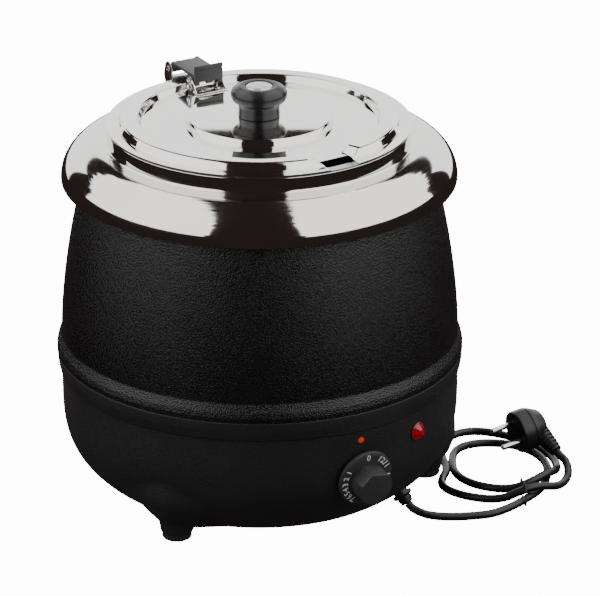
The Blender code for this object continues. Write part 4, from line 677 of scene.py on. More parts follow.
@dataclass
class Base:
    """The moulded base with its collar, legs and feet."""

    shop: Workshop
    bowl: Bowl
    seam_z: float = 0.123
    bead_r: float = 0.170
    collar_h: float = 0.016
    collar_foot_r: float = 0.168
    wall: float = 0.003
    opening_r: float = 0.108
    leg_pitch_r: float = 0.140
    leg_angles: tuple[float, ...] = (-60.0, 60.0, 180.0)
    leg_foot_r: float = 0.0134
    leg_root_r: float = 0.0200
    leg_root_z: float = 0.048
    web: float = 0.026  # the size of the round where the leg runs into the bowl
    leg_top: float = 0.018  # how far the leg's mesh runs on over its root, inside the bowl
    pad_r: float = 0.0123
    pad_h: float = 0.006
    seat_r: float = 0.0052  # where the foot's screw sits
    screw_r: float = 0.0026
    dial_window: tuple[float, float, float, float] = (-14.0, -6.0, 9.0, 17.0)  # degrees from the front
    fade_z: float = 0.080

    def build(self) -> None:
        """Builds the moulding and the feet."""
        self.moulding()
        self.feet()

    def moulding(self) -> None:
        """The bowl and collar as one walled turning, with each leg blended out of it."""
        bowl = self.bowl
        top = self.seam_z - TOUCH
        foot_z = self.seam_z - self.collar_h
        corners: list[Corner] = [
            (self.bead_r - 0.0060, top, 0),
            (self.bead_r, top, 0.0009),
            (self.bead_r - 0.0006, self.seam_z - self.collar_h * 0.55, 0.004),
            (self.collar_foot_r, foot_z, 0.0007),
            (bowl.rim_r, foot_z - 0.0014, 0.0009),
        ]
        outside = rounded(corners + [(bowl.rim_r, bowl.top_z, 0)], 4)[:-1]
        steps = 30
        heights = [foot_z - 0.003 - (foot_z - 0.003 - bowl.bottom_z) * (k / steps) for k in range(steps + 1)]
        outside += [(bowl.radius(z), z) for z in heights]
        outside += [(self.opening_r + 0.002, bowl.bottom_z), (self.opening_r, bowl.bottom_z)]
        bm = spun(walled(outside, self.wall), FINE, closed=True)
        self.flatten_over_dial(bm, foot_z)
        whole = merged(bm, *(self.leg(angle) for angle in self.leg_angles))
        self.shop.piece("base_moulding", whole, "base_moulding", Body.BASE, "base_plastic", ["base_shell"])

    def flatten_over_dial(self, bm: bmesh.types.BMesh, foot_z: float) -> None:
        """Runs the collar's step out into the wall over the dial.

        Args:
            bm: the moulding, about the kettle's axis.
            foot_z: the height of the collar's foot.
        """
        left, left_full, right_full, right = self.dial_window
        for vert in bm.verts:
            radius = math.hypot(vert.co.x, vert.co.y)
            angle = math.degrees(math.atan2(vert.co.x, -vert.co.y))
            window = ease(angle, left, left_full) * (1 - ease(angle, right_full, right))
            height = ease(vert.co.z, self.fade_z, foot_z - 0.002) * (1 - ease(vert.co.z, foot_z, foot_z + 0.004))
            if window * height > 0 and radius > self.bowl.rim_r - 0.001:
                gain = 1 + (self.collar_foot_r - self.bowl.rim_r) * window * height / radius
                vert.co.x *= gain
                vert.co.y *= gain

    def leg(self, angle: float) -> bmesh.types.BMesh:
        """A round leg whose top flows into the bowl.

        Args:
            angle: its place round the kettle.

        Returns:
            The leg, about the kettle's axis.
        """
        bm = bmesh.new()
        low, high = self.pad_h + TOUCH, self.leg_root_z + self.leg_top
        bmesh.ops.create_cone(bm, cap_ends=True, segments=FINE, radius1=1.0, radius2=1.0, depth=high - low)
        bmesh.ops.translate(bm, vec=(0, 0, (high + low) / 2), verts=bm.verts)
        upright = [e for e in bm.edges if abs(e.verts[0].co.z - e.verts[1].co.z) > 0.001]
        bmesh.ops.subdivide_edges(bm, edges=upright, cuts=36, use_grid_fill=True)
        centre = around(angle, self.leg_pitch_r)
        for vert in bm.verts:
            out = Vector((vert.co.x, vert.co.y, 0)).normalized()
            reach = self.leg_reach(centre, out, vert.co.z)
            vert.co = centre + out * reach + Vector((0, 0, vert.co.z))
        rim = [e for e in bm.edges if all(abs(v.co.z - low) < 0.00001 for v in e.verts)]
        bmesh.ops.bevel(bm, geom=rim, offset=0.0008, segments=3, profile=0.5, affect="EDGES", material=-1)
        bmesh.ops.recalc_face_normals(bm, faces=bm.faces)
        return bm

    def leg_reach(self, centre: Vector, out: Vector, z: float) -> float:
        """How far the blended leg reaches from its own axis at a height.

        Args:
            centre: the leg's axis.
            out: a level direction from it.
            z: the height.

        Returns:
            The distance to the leg's skin, or a length that ends inside the bowl.
        """
        cone_r = self.leg_foot_r + (self.leg_root_r - self.leg_foot_r) * (z - self.pad_h) / (
            self.leg_root_z - self.pad_h
        )
        blend = 0.002 + self.web * ease(z, 0.008, 0.026) * (1 - ease(z, 0.034, 0.064))

        def outside(reach: float) -> float:
            point = centre + out * reach
            wall = math.hypot(point.x, point.y) - self.bowl.radius(max(z, self.bowl.bottom_z))
            wall = max(wall * math.cos(self.bowl.tilt(max(z, 0.0095))), self.bowl.bottom_z - z) + 0.00012
            gap = reach - cone_r
            mix = max(blend - abs(wall - gap), 0.0) / blend
            return min(wall, gap) - mix * mix * blend / 4

        low, high = cone_r * 0.5, 0.050
        if outside(high) < 0:
            return high
        for _ in range(24):
            middle = (low + high) / 2
            low, high = (middle, high) if outside(middle) < 0 else (low, middle)
        return high

    def feet(self) -> None:
        """A turned rubber pad under each leg."""
        middle = self.pad_h / 2
        corners: list[Corner] = [
            (self.screw_r, self.pad_h, 0), (self.pad_r, self.pad_h, 0.0004), (self.pad_r, 0.0, 0.0022),
            (self.seat_r, 0.0, 0.0005), (self.seat_r, middle, 0), (self.screw_r, middle, 0),
        ]
        for i, angle in enumerate(self.leg_angles):
            place = self.shop.axis @ Matrix.Translation(around(angle, self.leg_pitch_r))
            pad = lathed(corners, 4, SMALL, True)
            self.shop.piece(f"foot_{i + 1}_pad", pad, "foot_rubber", Body.BASE, "rubber", [f"foot_{i + 1}"], place)


@dataclass
class Barrel:
    """The painted shell, the chromed crown over it, and the water pan inside."""

    shop: Workshop
    seam_z: float = 0.123
    top_z: float = 0.2990
    bead_r: float = 0.170
    waist_r: float = 0.166
    taper: float = 0.0264
    taper_power: float = 1.72
    flare_h: float = 0.015
    wall: float = 0.0010
    mouth_r: float = 0.1240
    crown_top_z: float = 0.3166
    shoulder_z: float = 0.3035
    crown_dome_r: float = 0.1305
    crown_roundness: float = 2.05  # 2 is an ellipse, and more is squarer
    crown_r: float = 0.164
    crown_drop: float = 0.0295
    crown_wall: float = 0.0008
    pan_r: float = 0.1218
    pan_under_z: float = 0.0643
    pan_wall: float = 0.0008

    def build(self) -> None:
        """Builds the three shells."""
        self.shell()
        self.crown()
        self.pan()

    def radius(self, z: float) -> float:
        """The shell's radius at a height over its flare."""
        low = self.seam_z + self.flare_h
        share = max(0.0, (z - low) / (self.top_z - low))
        return self.waist_r - self.taper * share**self.taper_power

    def shell(self) -> None:
        """The tapering steel shell with a rounded flare at its foot."""
        low = self.seam_z + self.flare_h
        steps = 28
        heights = [self.top_z - (self.top_z - low - 0.002) * k / steps for k in range(steps + 1)]
        flare: list[Corner] = [
            (self.radius(low + 0.002), low + 0.002, 0),
            (self.waist_r, low, 0.008),
            (self.bead_r - 0.0009, self.seam_z + self.flare_h * 0.52, 0.006),
            (self.bead_r, self.seam_z + self.flare_h * 0.25, 0.003),
            (self.bead_r, self.seam_z, 0),
        ]
        top_r = self.radius(self.top_z)
        under = self.top_z - 0.009
        brim: list[Corner] = [
            (self.pan_r + 0.0032, self.top_z, 0), (top_r, self.top_z, 0.002), (self.radius(under), under, 0)
        ]
        side = [(self.radius(z), z) for z in heights if z < self.top_z - 0.003]
        outside = rounded(brim)[:-1] + side + rounded(flare, 5)[1:]
        bm = spun(walled(outside, self.wall), FINE, closed=True)
        self.shop.piece("shell_skin", bm, "powder_coat", Body.BASE, "shell_paint", ["upper_shell"])

    def crown(self) -> None:
        """The pressed ring: a cove wall, a flat, a quarter-round and a turned-in lip."""
        lip_z = self.shoulder_z - self.crown_drop
        inside: list[Corner] = [
            (self.mouth_r, self.crown_top_z, 0),
            (self.mouth_r + 0.0012, self.crown_top_z, 0.0005),
            (self.mouth_r + 0.0016, self.shoulder_z + 0.0005, 0.004),
            (self.crown_dome_r, self.shoulder_z, 0),
        ]
        outside = rounded(inside, 8)
        steps = 32
        power = 2 / self.crown_roundness
        for k in range(1, steps + 1):
            turn = math.pi / 2 * k / steps
            out = math.sin(turn) ** power
            up = math.cos(turn) ** power if k < steps else 0.0
            outside.append((self.crown_dome_r + (self.crown_r - self.crown_dome_r) * out, lip_z + self.crown_drop * up))
        lip: list[Corner] = [
            (self.crown_r, lip_z, 0),
            (self.crown_r - 0.0004, lip_z - 0.0027, 0.0012),
            (self.radius(lip_z) + 0.0012, lip_z - 0.0027, 0),
        ]
        outside += rounded(lip, 5)[1:]
        bm = spun(walled(outside, self.crown_wall), FINE, closed=True)
        self.shop.piece("crown_skin", bm, "crown_chrome", Body.BASE, "mirror_steel", ["crown_ring"])

    def pan(self) -> None:
        """The drawn water pan and its flange."""
        under = self.top_z + TOUCH
        corners: list[Corner] = [
            (self.pan_r + 0.014, under, 0),
            (self.pan_r, under, 0.002),
            (self.pan_r, self.pan_under_z, 0.014),
            (0, self.pan_under_z, 0),
        ]
        bm = spun(walled(rounded(corners, 8), self.pan_wall), MEDIUM, closed=True)
        self.shop.piece("water_pan_skin", bm, "satin_steel", Body.BASE, "brushed_steel", ["water_pan"])


@dataclass
class Controls:
    """The dial with its numbers, the index dot and the pilot lamp."""

    shop: Workshop
    bowl: Bowl
    dial_z: float = 0.064
    dial_tilt: float = math.radians(10.0)
    skirt_r: float = 0.0245
    skirt_low: float = 0.0010
    skirt_t: float = 0.0040
    socket_r: float = 0.0033
    grip_r: float = 0.0148
    grip_h: float = 0.016
    flats: tuple[tuple[float, float], ...] = ((12.0, 0.0127), (-46.0, 0.0137))
    number_r: float = 0.0199
    number_size: float = 0.0074
    numbers: tuple[tuple[str, float], ...] = (
        ("0", 0), ("1", 60), ("2", 77), ("3", 93), ("4", 107), ("5", 120), ("6", 133), ("7", 146), ("8", 184),
        ("9", 226), ("10", 264), ("11", 300), ("12", 321),
    )
    dot: tuple[float, float] = (-1.3, 0.0980)  # angle and height
    dot_r: float = 0.0036
    dot_stem: tuple[float, float] = (0.0016, 0.003)  # radius and length
    lamp: tuple[float, float] = (20.0, 0.0875)
    lamp_r: float = 0.0075
    lamp_stem: tuple[float, float] = (0.0048, 0.009)

    def build(self) -> None:
        """Builds the three controls."""
        place = self.shop.axis @ facing(0.0, self.bowl.radius(self.dial_z), self.dial_z, self.dial_tilt)
        self.dial(place)
        self.print_numbers(place)
        self.index_dot()
        self.pilot_lamp()

    def dial(self, place: Matrix) -> None:
        """The skirt and its grip, with two flats that leave a ridge as the pointer.

        Args:
            place: the dial's frame, Z outwards.
        """
        face = self.skirt_low + self.skirt_t
        socket_z = self.skirt_low + 0.0012
        skirt: list[Corner] = [
            (0, face, 0), (self.skirt_r - 0.0032, face, 0.003), (self.skirt_r, face - 0.0011, 0.0008),
            (self.skirt_r, self.skirt_low, 0.0004), (self.socket_r, self.skirt_low, 0), (self.socket_r, socket_z, 0),
            (0, socket_z, 0),
        ]
        whole = lathed(skirt, 5, MEDIUM)
        bm = bmesh.new()
        low, high = face - 0.0006, face + self.grip_h
        wide = self.grip_r + 0.0003
        bmesh.ops.create_cone(
            bm, cap_ends=True, segments=MEDIUM, radius1=wide, radius2=self.grip_r, depth=high - low
        )
        bmesh.ops.translate(bm, vec=(0, 0, (high + low) / 2), verts=bm.verts)
        for turn, reach in self.flats:
            normal = Matrix.Rotation(math.radians(-turn), 3, "Z") @ Vector((0, 1, 0))
            cut = bmesh.ops.bisect_plane(
                bm, geom=bm.verts[:] + bm.edges[:] + bm.faces[:], plane_co=normal * reach, plane_no=normal,
                clear_outer=True,
            )
            rim = [e for e in cut["geom_cut"] if isinstance(e, bmesh.types.BMEdge)]
            bmesh.ops.holes_fill(bm, edges=rim)
        bmesh.ops.recalc_face_normals(bm, faces=bm.faces)
        soften(bm, 0.0009, 3, 40.0)
        self.shop.piece(
            "dial_grip", merged(whole, bm), "dial_moulding", Body.DIAL, "knob_plastic", ["dial_knob"], place
        )

    def print_numbers(self, place: Matrix) -> None:
        """The dial's numbers, one mesh, with their tops outwards.

        Args:
            place: the dial's frame, Z outwards.
        """
        whole = bmesh.new()
        for text, angle in self.numbers:
            curve = bpy.data.curves.new(f"number_{text}", "FONT")
            curve.body = text
            curve.size = self.number_size
            curve.align_x = "CENTER"
            curve.align_y = "CENTER"
            curve.extrude = 0.00006
            curve.resolution_u = 3
            guide = linked(bpy.data.objects.new(f"number_{text}", curve))
            graph = bpy.context.evaluated_depsgraph_get()
            mesh = bpy.data.meshes.new_from_object(guide.evaluated_get(graph))
            turn = Matrix.Rotation(math.radians(angle), 4, "Z")
            height = self.skirt_low + self.skirt_t + 0.00003
            mesh.transform(turn @ Matrix.Translation((0, self.number_r, height)))
            whole.from_mesh(mesh)
            bpy.data.objects.remove(guide, do_unlink=True)
            bpy.data.meshes.remove(mesh)
        bmesh.ops.remove_doubles(whole, verts=whole.verts, dist=0.000001)
        self.shop.piece("dial_numbers", whole, "white_print", Body.DIAL, "knob_plastic", (), place)

    def index_dot(self) -> None:
        """The domed red dot that the numbers turn to."""
        angle, z = self.dot
        place = self.shop.axis @ facing(angle, self.bowl.rim_r, z)
        stem_r, stem_l = self.dot_stem
        dome = lathed(
            [
                (0, 0.0017, 0), (self.dot_r - 0.0010, 0.0015, 0.003), (self.dot_r, 0.0006, 0.001),
                (self.dot_r, TOUCH, 0), (stem_r, TOUCH, 0), (stem_r, -stem_l, 0), (0, -stem_l, 0),
            ],
            5, SMALL,
        )
        self.shop.piece("index_dot_dome", dome, "red_paint", Body.BASE, "red_index", ["index_dot"], place)

    def pilot_lamp(self) -> None:
        """The red lens: a round flange under a faceted point."""
        angle, z = self.lamp
        place = self.shop.axis @ facing(angle, self.bowl.radius(z), z, self.bowl.tilt(z))
        stem_r, stem_l = self.lamp_stem
        flange = lathed(
            [
                (0, 0.0018, 0), (self.lamp_r - 0.0007, 0.0018, 0), (self.lamp_r, 0.0015, 0.0004),
                (self.lamp_r, TOUCH, 0.0003), (stem_r, TOUCH, 0), (stem_r, -stem_l, 0), (0, -stem_l, 0),
            ],
            4, SMALL,
        )
        facets = spun([(0, 0.0064), (0.0030, 0.0058), (0.0056, 0.0034), (0.0066, 0.0016), (0, 0.0016)], 8)
        self.shop.piece(
            "lamp_lens", merged(flange, facets), "lamp_red", Body.BASE, "red_lens", ["pilot_lamp_lens"], place,
            math.radians(15),
        )


@dataclass
class Pot:
    """The lift-out pot with the tab on its rim."""

    shop: Workshop
    radius: float = 0.1158
    rim_r: float = 0.1250
    rim_under_z: float = 0.3169
    floor_z: float = 0.0801
    wall: float = 0.0008
    tab_w: float = 0.0240
    tab_rear_y: float = 0.1380

    def build(self) -> None:
        """Builds the drawn pot and its tab."""
        corners: list[Corner] = [
            (self.rim_r, self.rim_under_z, 0),
            (self.radius, self.rim_under_z, 0.0015),
            (self.radius, self.floor_z, 0.018),
            (0, self.floor_z, 0),
        ]
        bm = spun(walled(rounded(corners, 8), self.wall), MEDIUM, closed=True)
        inner_y = self.rim_r - 0.004
        size = (self.tab_w, self.tab_rear_y - inner_y, self.wall)
        centre = (0, (self.tab_rear_y + inner_y) / 2, self.rim_under_z + self.wall / 2)
        tab = block(size, centre)
        self.shop.piece(
            "pot_skin", merged(bm, tab), "satin_steel", Body.POT, "brushed_steel", ["inner_pot"], self.shop.pot
        )


@dataclass
class Lid:
    """The pressed lid with its ladle notch, and its knob."""

    shop: Workshop
    flange_z: float = 0.3191
    wall: float = 0.0009
    edge_r: float = 0.1260
    band_h: float = 0.0060
    hole_r: float = 0.0028
    disc_r: tuple[float, float] = (0.0600, 0.0618)
    band_in_r: tuple[float, float] = (0.0978, 0.0997)
    band_out_r: tuple[float, float] = (0.1142, 0.1168)
    notch_w: float = 0.028
    notch_in_r: float = 0.1070
    notch_turn: float = math.radians(4.5)
    notch_l: float = 0.030
    notch_ramp: tuple[float, float] = (0.0005, 0.0075)  # where the band starts and ends its ramp, from the notch
    notch_drop: float = 0.92  # how much of the band's height the ramp takes
    relief_w: float = 0.034
    relief_y: float = 0.1235
    knob_h: float = 0.0255
    knob_seat: float = 0.3254

    def build(self) -> None:
        """Builds the lid, its knob and the cap."""
        self.pressing()
        self.knob()

    def pressing(self) -> None:
        """The lid's sheet: a raised disc, a raised band, and a notch whose ends ramp down."""
        low, high = self.flange_z, self.flange_z + self.band_h
        corners: list[Corner] = [
            (self.hole_r, high, 0),
            (self.disc_r[0], high, 0.0020),
            (self.disc_r[1], low, 0.0012),
            (self.band_in_r[0], low, 0.0012),
            (self.band_in_r[1], high, 0.0016),
            (self.band_out_r[0], high, 0.0026),
            (self.band_out_r[1], low, 0.0014),
            (self.edge_r, low, 0),
        ]
        bm = spun(walled(rounded(corners, 6), self.wall), FINE * 2, closed=True)
        turn = Matrix.Rotation(-self.notch_turn, 3, "Z")
        for vert in bm.verts:
            local = turn @ vert.co
            radius = math.hypot(local.x, local.y)
            if local.y > 0 or radius < self.band_in_r[0] - 0.002:
                continue
            near = 1 - ease(abs(local.x) - self.notch_w / 2, *self.notch_ramp)
            drop = max(0.0, vert.co.z - (self.flange_z - self.wall / 2) - self.wall)
            vert.co.z -= drop * near * self.notch_drop
        obj = as_object("lid_pressing", bm)
        self.cut(obj, self.notch_cutter())
        self.cut(obj, self.relief_cutter())
        whole = bmesh.new()
        whole.from_mesh(obj.data)
        bpy.data.objects.remove(obj, do_unlink=True)
        bmesh.ops.remove_doubles(whole, verts=whole.verts, dist=0.000002)
        sharp = math.radians(50)
        self.shop.piece("lid_sheet", whole, "mirror_steel", Body.LID, "mirror_steel", ["lid"], self.shop.pot, sharp)

    def notch_cutter(self) -> bmesh.types.BMesh:
        """What the ladle notch removes."""
        centre = (0, -self.notch_in_r - self.notch_l / 2, self.flange_z + 0.004)
        cutter = block((self.notch_w, self.notch_l, 0.03), centre)
        upright = [e for e in cutter.edges if abs(e.verts[0].co.z - e.verts[1].co.z) > 0.001]
        bmesh.ops.bevel(cutter, geom=upright, offset=0.0022, segments=4, profile=0.5, affect="EDGES", material=-1)
        turn = Matrix.Rotation(self.notch_turn, 3, "Z")
        bmesh.ops.rotate(cutter, cent=(0, 0, 0), matrix=turn, verts=cutter.verts)
        return cutter

    def relief_cutter(self) -> bmesh.types.BMesh:
        """What the hinge's relief removes."""
        return block((self.relief_w, 0.02, 0.03), (0, self.relief_y + 0.01, self.flange_z))

    @staticmethod
    def cut(obj: bpy.types.Object, cutter: bmesh.types.BMesh) -> None:
        """Takes a cutter out of an object's mesh.

        Args:
            obj: what is cut.
            cutter: the closed mesh to take out, which is freed.
        """
        tool = as_object("cutter", cutter)
        step = obj.modifiers.new("cut", "BOOLEAN")
        step.operation = "DIFFERENCE"
        step.object = tool
        graph = bpy.context.evaluated_depsgraph_get()
        result = bpy.data.meshes.new_from_object(obj.evaluated_get(graph))
        obj.modifiers.clear()
        obj.data = result
        bpy.data.objects.remove(tool, do_unlink=True)

    def knob(self) -> None:
        """The moulded knob: a waist between its foot and a rounded head with a set-in cap."""
        place = self.shop.pot @ Matrix.Translation((0, 0, self.knob_seat))
        h = self.knob_h
        recess, bore, stem, cap_r = 0.0016, 0.0028, 0.0020, 0.0109
        grip = lathed(
            [
                (0, h - recess, 0), (0.0113, h - recess, 0.0003), (0.0118, h - 0.0001, 0.0005), (0.0160, h, 0.004),
                (0.0222, h * 0.90, 0.006), (0.0237, h * 0.70, 0.006), (0.0216, h * 0.52, 0.005),
                (0.0176, h * 0.42, 0.004), (0.0168, h * 0.30, 0.006), (0.0172, 0.0008, 0.002), (0.0168, 0, 0.0004),
                (bore, 0, 0), (bore, 0.014, 0), (0, 0.014, 0),
            ],
            6, MEDIUM,
        )
        self.shop.piece("knob_grip", grip, "knob_moulding", Body.LID, "knob_plastic", ["lid_knob"], place)
        seat = h - recess + TOUCH
        cap = lathed(
            [
                (0, seat + 0.0013, 0), (0.0090, seat + 0.0012, 0.004), (cap_r, seat + 0.0006, 0.0005),
                (cap_r, seat, 0), (stem, seat, 0), (stem, seat - 0.004, 0), (0, seat - 0.004, 0),
            ],
            5, MEDIUM,
        )
        self.shop.piece("knob_disc", cap, "cap_silver", Body.LID, "brushed_steel", ["knob_cap"], place)


@dataclass
class Hinge:
    """The hinge: a bracket clamped to the pot's rim, an arm, and a leaf riveted to the lid."""

    shop: Workshop
    flange_z: float = 0.3191
    width: float = 0.0262
    pin_r: float = 0.0018
    rear: tuple[float, float] = (0.1320, 0.0082)  # y, and height over the flange
    front: tuple[float, float] = (0.0955, 0.0088)
    arm_front_y: float = 0.0860
    arm_rear_y: float = 0.1290
    arm_top: float = 0.0152
    arm_t: float = 0.0024
    thumb_t: float = 0.0026
    thumb_top: float = 0.0230
    thumb_low: float = 0.0090
    leaf_t: float = 0.0010
    leaf_front_y: float = 0.0800
    leaf_rear_y: float = 0.0962
    leaf_top: float = 0.0130
    ear_t: float = 0.0012
    ear_r: float = 0.0062
    rim_under_z: float = 0.3169
    rim_t: float = 0.0008
    lid_t: float = 0.0009
    band_h: float = 0.0060
    floor_y: float = 0.1327  # the middle of the bracket's floor
    floor_l: float = 0.0106
    ear_drop: float = 0.0100  # how far the ears reach under the rim
    clamp_y: float = 0.1312
    clamp_h: float = 0.0048
    screw_r: float = 0.0013
    rivet_r: float = 0.0016
    rivet_head_r: float = 0.0030
    rivet_foot_r: float = 0.0027
    rivet_at: tuple[float, float] = (0.0075, 0.0860)

    def build(self) -> None:
        """Builds the arm, the leaf, the bracket, the pins and the rivets."""
        self.arm()
        self.leaf()
        self.bracket()
        self.clamp()
        self.pins()
        self.rivets()

    def slab_across(self, outline: Profile, low: float, high: float, edge: float) -> bmesh.types.BMesh:
        """A slab across the hinge, from an outline of y and height."""
        bm = slab(outline, low, high, edge)
        bmesh.ops.transform(bm, matrix=across(0, 0, 0), verts=bm.verts)
        return bm

    def ears(self, outline: Profile, half: float, sheet: float, edge: float) -> list[bmesh.types.BMesh]:
        """The two ears of a channel.

        Args:
            outline: their shape, of y and height.
            half: half the channel's width.
            sheet: the sheet's thickness.
            edge: the width of their bevels.

        Returns:
            The left ear and the right one.
        """
        return [
            self.slab_across(outline, *sorted((side * (half - sheet), side * half)), edge) for side in (-1, 1)
        ]

    def arm(self) -> None:
        """The moulded arm: a top plate, a grooved thumb plate, and a web at each pin."""
        base, half = self.flange_z, self.width / 2
        top, under = base + self.arm_top, base + self.arm_top - self.arm_t
        y0, y1 = self.arm_front_y, self.arm_front_y + self.thumb_t
        groove = base + self.thumb_top - 0.0042
        outline: Profile = [
            (y0, base + self.thumb_low), (y1, base + self.thumb_low), (y1, under), (self.arm_rear_y, under),
            (self.arm_rear_y + 0.0004, top - 0.0008), (self.arm_rear_y - 0.0004, top), (y1 + 0.0004, top),
            (y1, top + 0.0005), (y1 - 0.0004, base + self.thumb_top), (y0 + 0.0003, base + self.thumb_top),
            (y0, groove + 0.0009), (y0 + 0.0007, groove + 0.0005), (y0 + 0.0007, groove - 0.0005),
            (y0, groove - 0.0009),
        ]
        plate = self.slab_across(outline, -half, half, 0.0003)
        front_y, front_z = self.front[0], base + self.front[1]
        rear_y, rear_z = self.rear[0], base + self.rear[1]
        near: Profile = [
            (y0 + 0.001, top - 0.001), (y0 + 0.001, front_z - self.pin_r - 0.0012),
            (front_y + 0.0022, front_z - self.pin_r - 0.0010), (front_y + 0.0042, front_z + 0.0020),
            (front_y + 0.0070, top - 0.001),
        ]
        far: Profile = [
            (self.arm_rear_y - 0.0085, top - 0.001), (rear_y - 0.0040, rear_z - 0.0014),
            (rear_y - 0.0016, rear_z - 0.0034), (rear_y + 0.0016, rear_z - 0.0034),
            (rear_y + 0.0034, rear_z - 0.0014), (rear_y + 0.0034, rear_z + 0.0020),
            (self.arm_rear_y - 0.0005, top - 0.0003),
        ]
        inside = half - TOUCH
        lug = 0.0045
        webs = [
            self.slab_across(near, inside - lug, inside, 0.0004),
            self.slab_across(near, -inside, lug - inside, 0.0004),
            self.slab_across(far, -inside, inside, 0.0004),
        ]
        whole = merged(plate, *webs)
        self.shop.piece("arm_moulding", whole, "arm_moulding", Body.LID, "knob_plastic", ["hinge_arm"], self.shop.pot)

    def leaf(self) -> None:
        """The bright channel on the lid whose curved ears hold the front pin."""
        half = self.width / 2 + TOUCH + self.leaf_t
        low = self.flange_z + TOUCH
        length = self.leaf_rear_y - self.leaf_front_y
        floor = block(
            (2 * half, length, self.leaf_t),
            (0, (self.leaf_rear_y + self.leaf_front_y) / 2, low + self.leaf_t / 2), 0.0003,
        )
        front_y, front_z = self.front[0], self.flange_z + self.front[1]
        band_z = self.flange_z + self.band_h + 0.0006
        corners: list[Corner] = [
            (self.leaf_rear_y, band_z, 0), (self.leaf_rear_y, low, 0), (self.leaf_front_y + 0.0012, low, 0.0008),
            (self.leaf_front_y + 0.0058, low + 0.0042, 0.006),
            (front_y - 0.0052, self.flange_z + self.leaf_top - 0.0006, 0.005),
            (front_y + 0.0024, self.flange_z + self.leaf_top, 0.0030), (front_y + 0.0036, front_z - 0.0010, 0.0030),
            (front_y + 0.0014, band_z, 0.001), (self.leaf_rear_y, band_z, 0),
        ]
        whole = merged(floor, *self.ears(rounded(corners, 5)[:-1], half, self.leaf_t, 0.00018))
        self.shop.piece("leaf_channel", whole, "bright_steel", Body.LID, "mirror_steel", ["hinge_leaf"], self.shop.pot)

    def bracket(self) -> None:
        """The bright bracket over the pot's tab, with a round-topped ear each side."""
        half = self.width / 2 + TOUCH + self.ear_t
        floor_z = self.rim_under_z + self.rim_t + TOUCH + self.ear_t / 2
        floor = block((2 * half, self.floor_l, self.ear_t), (0, self.floor_y, floor_z), 0.0003)
        rear_y, rear_z = self.rear[0], self.flange_z + self.rear[1]
        low_z = self.rim_under_z - self.ear_drop
        outline: Profile = [(0.1299, low_z), (0.1268, low_z + 0.0030), (0.1252, self.rim_under_z)]
        for k in range(19):
            turn = math.radians(180 - 10 * k)
            outline.append((rear_y + self.ear_r * math.cos(turn), rear_z + self.ear_r * math.sin(turn)))
        heel: list[Corner] = [
            (rear_y + self.ear_r, rear_z, 0), (0.1402, rear_z - 0.0070, 0.004), (0.1384, rear_z - 0.0112, 0.002),
            (0.1352, low_z, 0),
        ]
        outline += rounded(heel, 5)[1:]
        whole = merged(floor, *self.ears(outline, half, self.ear_t, 0.0002))
        self.shop.piece(
            "bracket_pressing", whole, "bright_steel", Body.POT, "mirror_steel", ["hinge_bracket"], self.shop.pot
        )

    def clamp(self) -> None:
        """The bar under the pot's tab and its two screws."""
        middle = self.rim_under_z - TOUCH - self.clamp_h / 2
        bar = block((self.width - 0.0001, 0.0080, self.clamp_h), (0, self.clamp_y, middle), 0.0006)
        self.shop.piece("clamp_block", bar, "arm_moulding", Body.POT, "knob_plastic", ["clamp_bar"], self.shop.pot)
        seat = self.width / 2 + self.ear_t + 2 * TOUCH
        head: list[Corner] = [
            (0, 0.0014, 0), (0.0018, 0.0014, 0.0008), (0.0026, 0.0007, 0.0006), (0.0026, 0, 0),
            (self.screw_r, 0, 0), (self.screw_r, -0.0068, 0), (0, -0.007, 0),
        ]
        for side, word in ((-1, "left"), (1, "right")):
            turn = Matrix() if side > 0 else Matrix.Rotation(math.pi, 4, "X")
            place = self.shop.pot @ across(side * seat, self.clamp_y, middle) @ turn
            name, screw = f"clamp_screw_{word}", lathed(head, 4, SMALL // 2)
            self.shop.piece(f"{name}_turned", screw, "zinc_plate", Body.POT, "plated_steel", [name], place)

    def pins(self) -> None:
        """The two riveted pins."""
        self.pin("front_pin", self.front, self.width / 2 + TOUCH + self.leaf_t + 0.0009, Body.LID)
        self.pin("rear_pin", self.rear, self.width / 2 + TOUCH + self.ear_t + 0.0009, Body.POT)

    def pin(self, name: str, at: tuple[float, float], half: float, body: Body) -> None:
        """A pin with a domed, dimpled head at each end.

        Args:
            name: the node that it stands for.
            at: its y, and its height over the flange.
            half: half its length.
            body: what it rides on.
        """
        radius = self.pin_r
        head: list[Corner] = [
            (0, half - 0.0003, 0), (radius * 0.45, half - 0.0003, 0.0002), (radius * 0.7, half, 0.0003),
            (radius * 1.35, half - 0.0003, 0.0003), (radius * 1.35, half - 0.0007, 0), (radius, half - 0.0007, 0),
        ]
        top = rounded(head, 4)
        profile = top + [(r, -z) for r, z in reversed(top)]
        place = self.shop.pot @ across(0, at[0], self.flange_z + at[1])
        self.shop.piece(f"{name}_turned", spun(profile, SMALL), "nickel_plate", body, "nickel", [name], place)

    def rivets(self) -> None:
        """The rivets that hold the leaf to the lid."""
        above = self.flange_z + 2 * TOUCH + self.leaf_t
        below = self.flange_z - self.lid_t - TOUCH
        corners: list[Corner] = [
            (0, above + 0.0010, 0), (self.rivet_r, above + 0.0010, 0.0010), (self.rivet_head_r, above + 0.0002, 0.0003),
            (self.rivet_head_r, above, 0), (self.rivet_r, above, 0), (self.rivet_r, below, 0),
            (self.rivet_foot_r, below, 0), (self.rivet_foot_r, below - 0.0007, 0.0003), (0, below - 0.0007, 0),
        ]
        x, y = self.rivet_at
        for side, word in ((-1, "left"), (1, "right")):
            place = self.shop.pot @ Matrix.Translation((side * x, y, 0))
            name, rivet = f"leaf_rivet_{word}", lathed(corners, 4, SMALL // 2)
            self.shop.piece(f"{name}_turned", rivet, "nickel_plate", Body.LID, "nickel", [name], place)


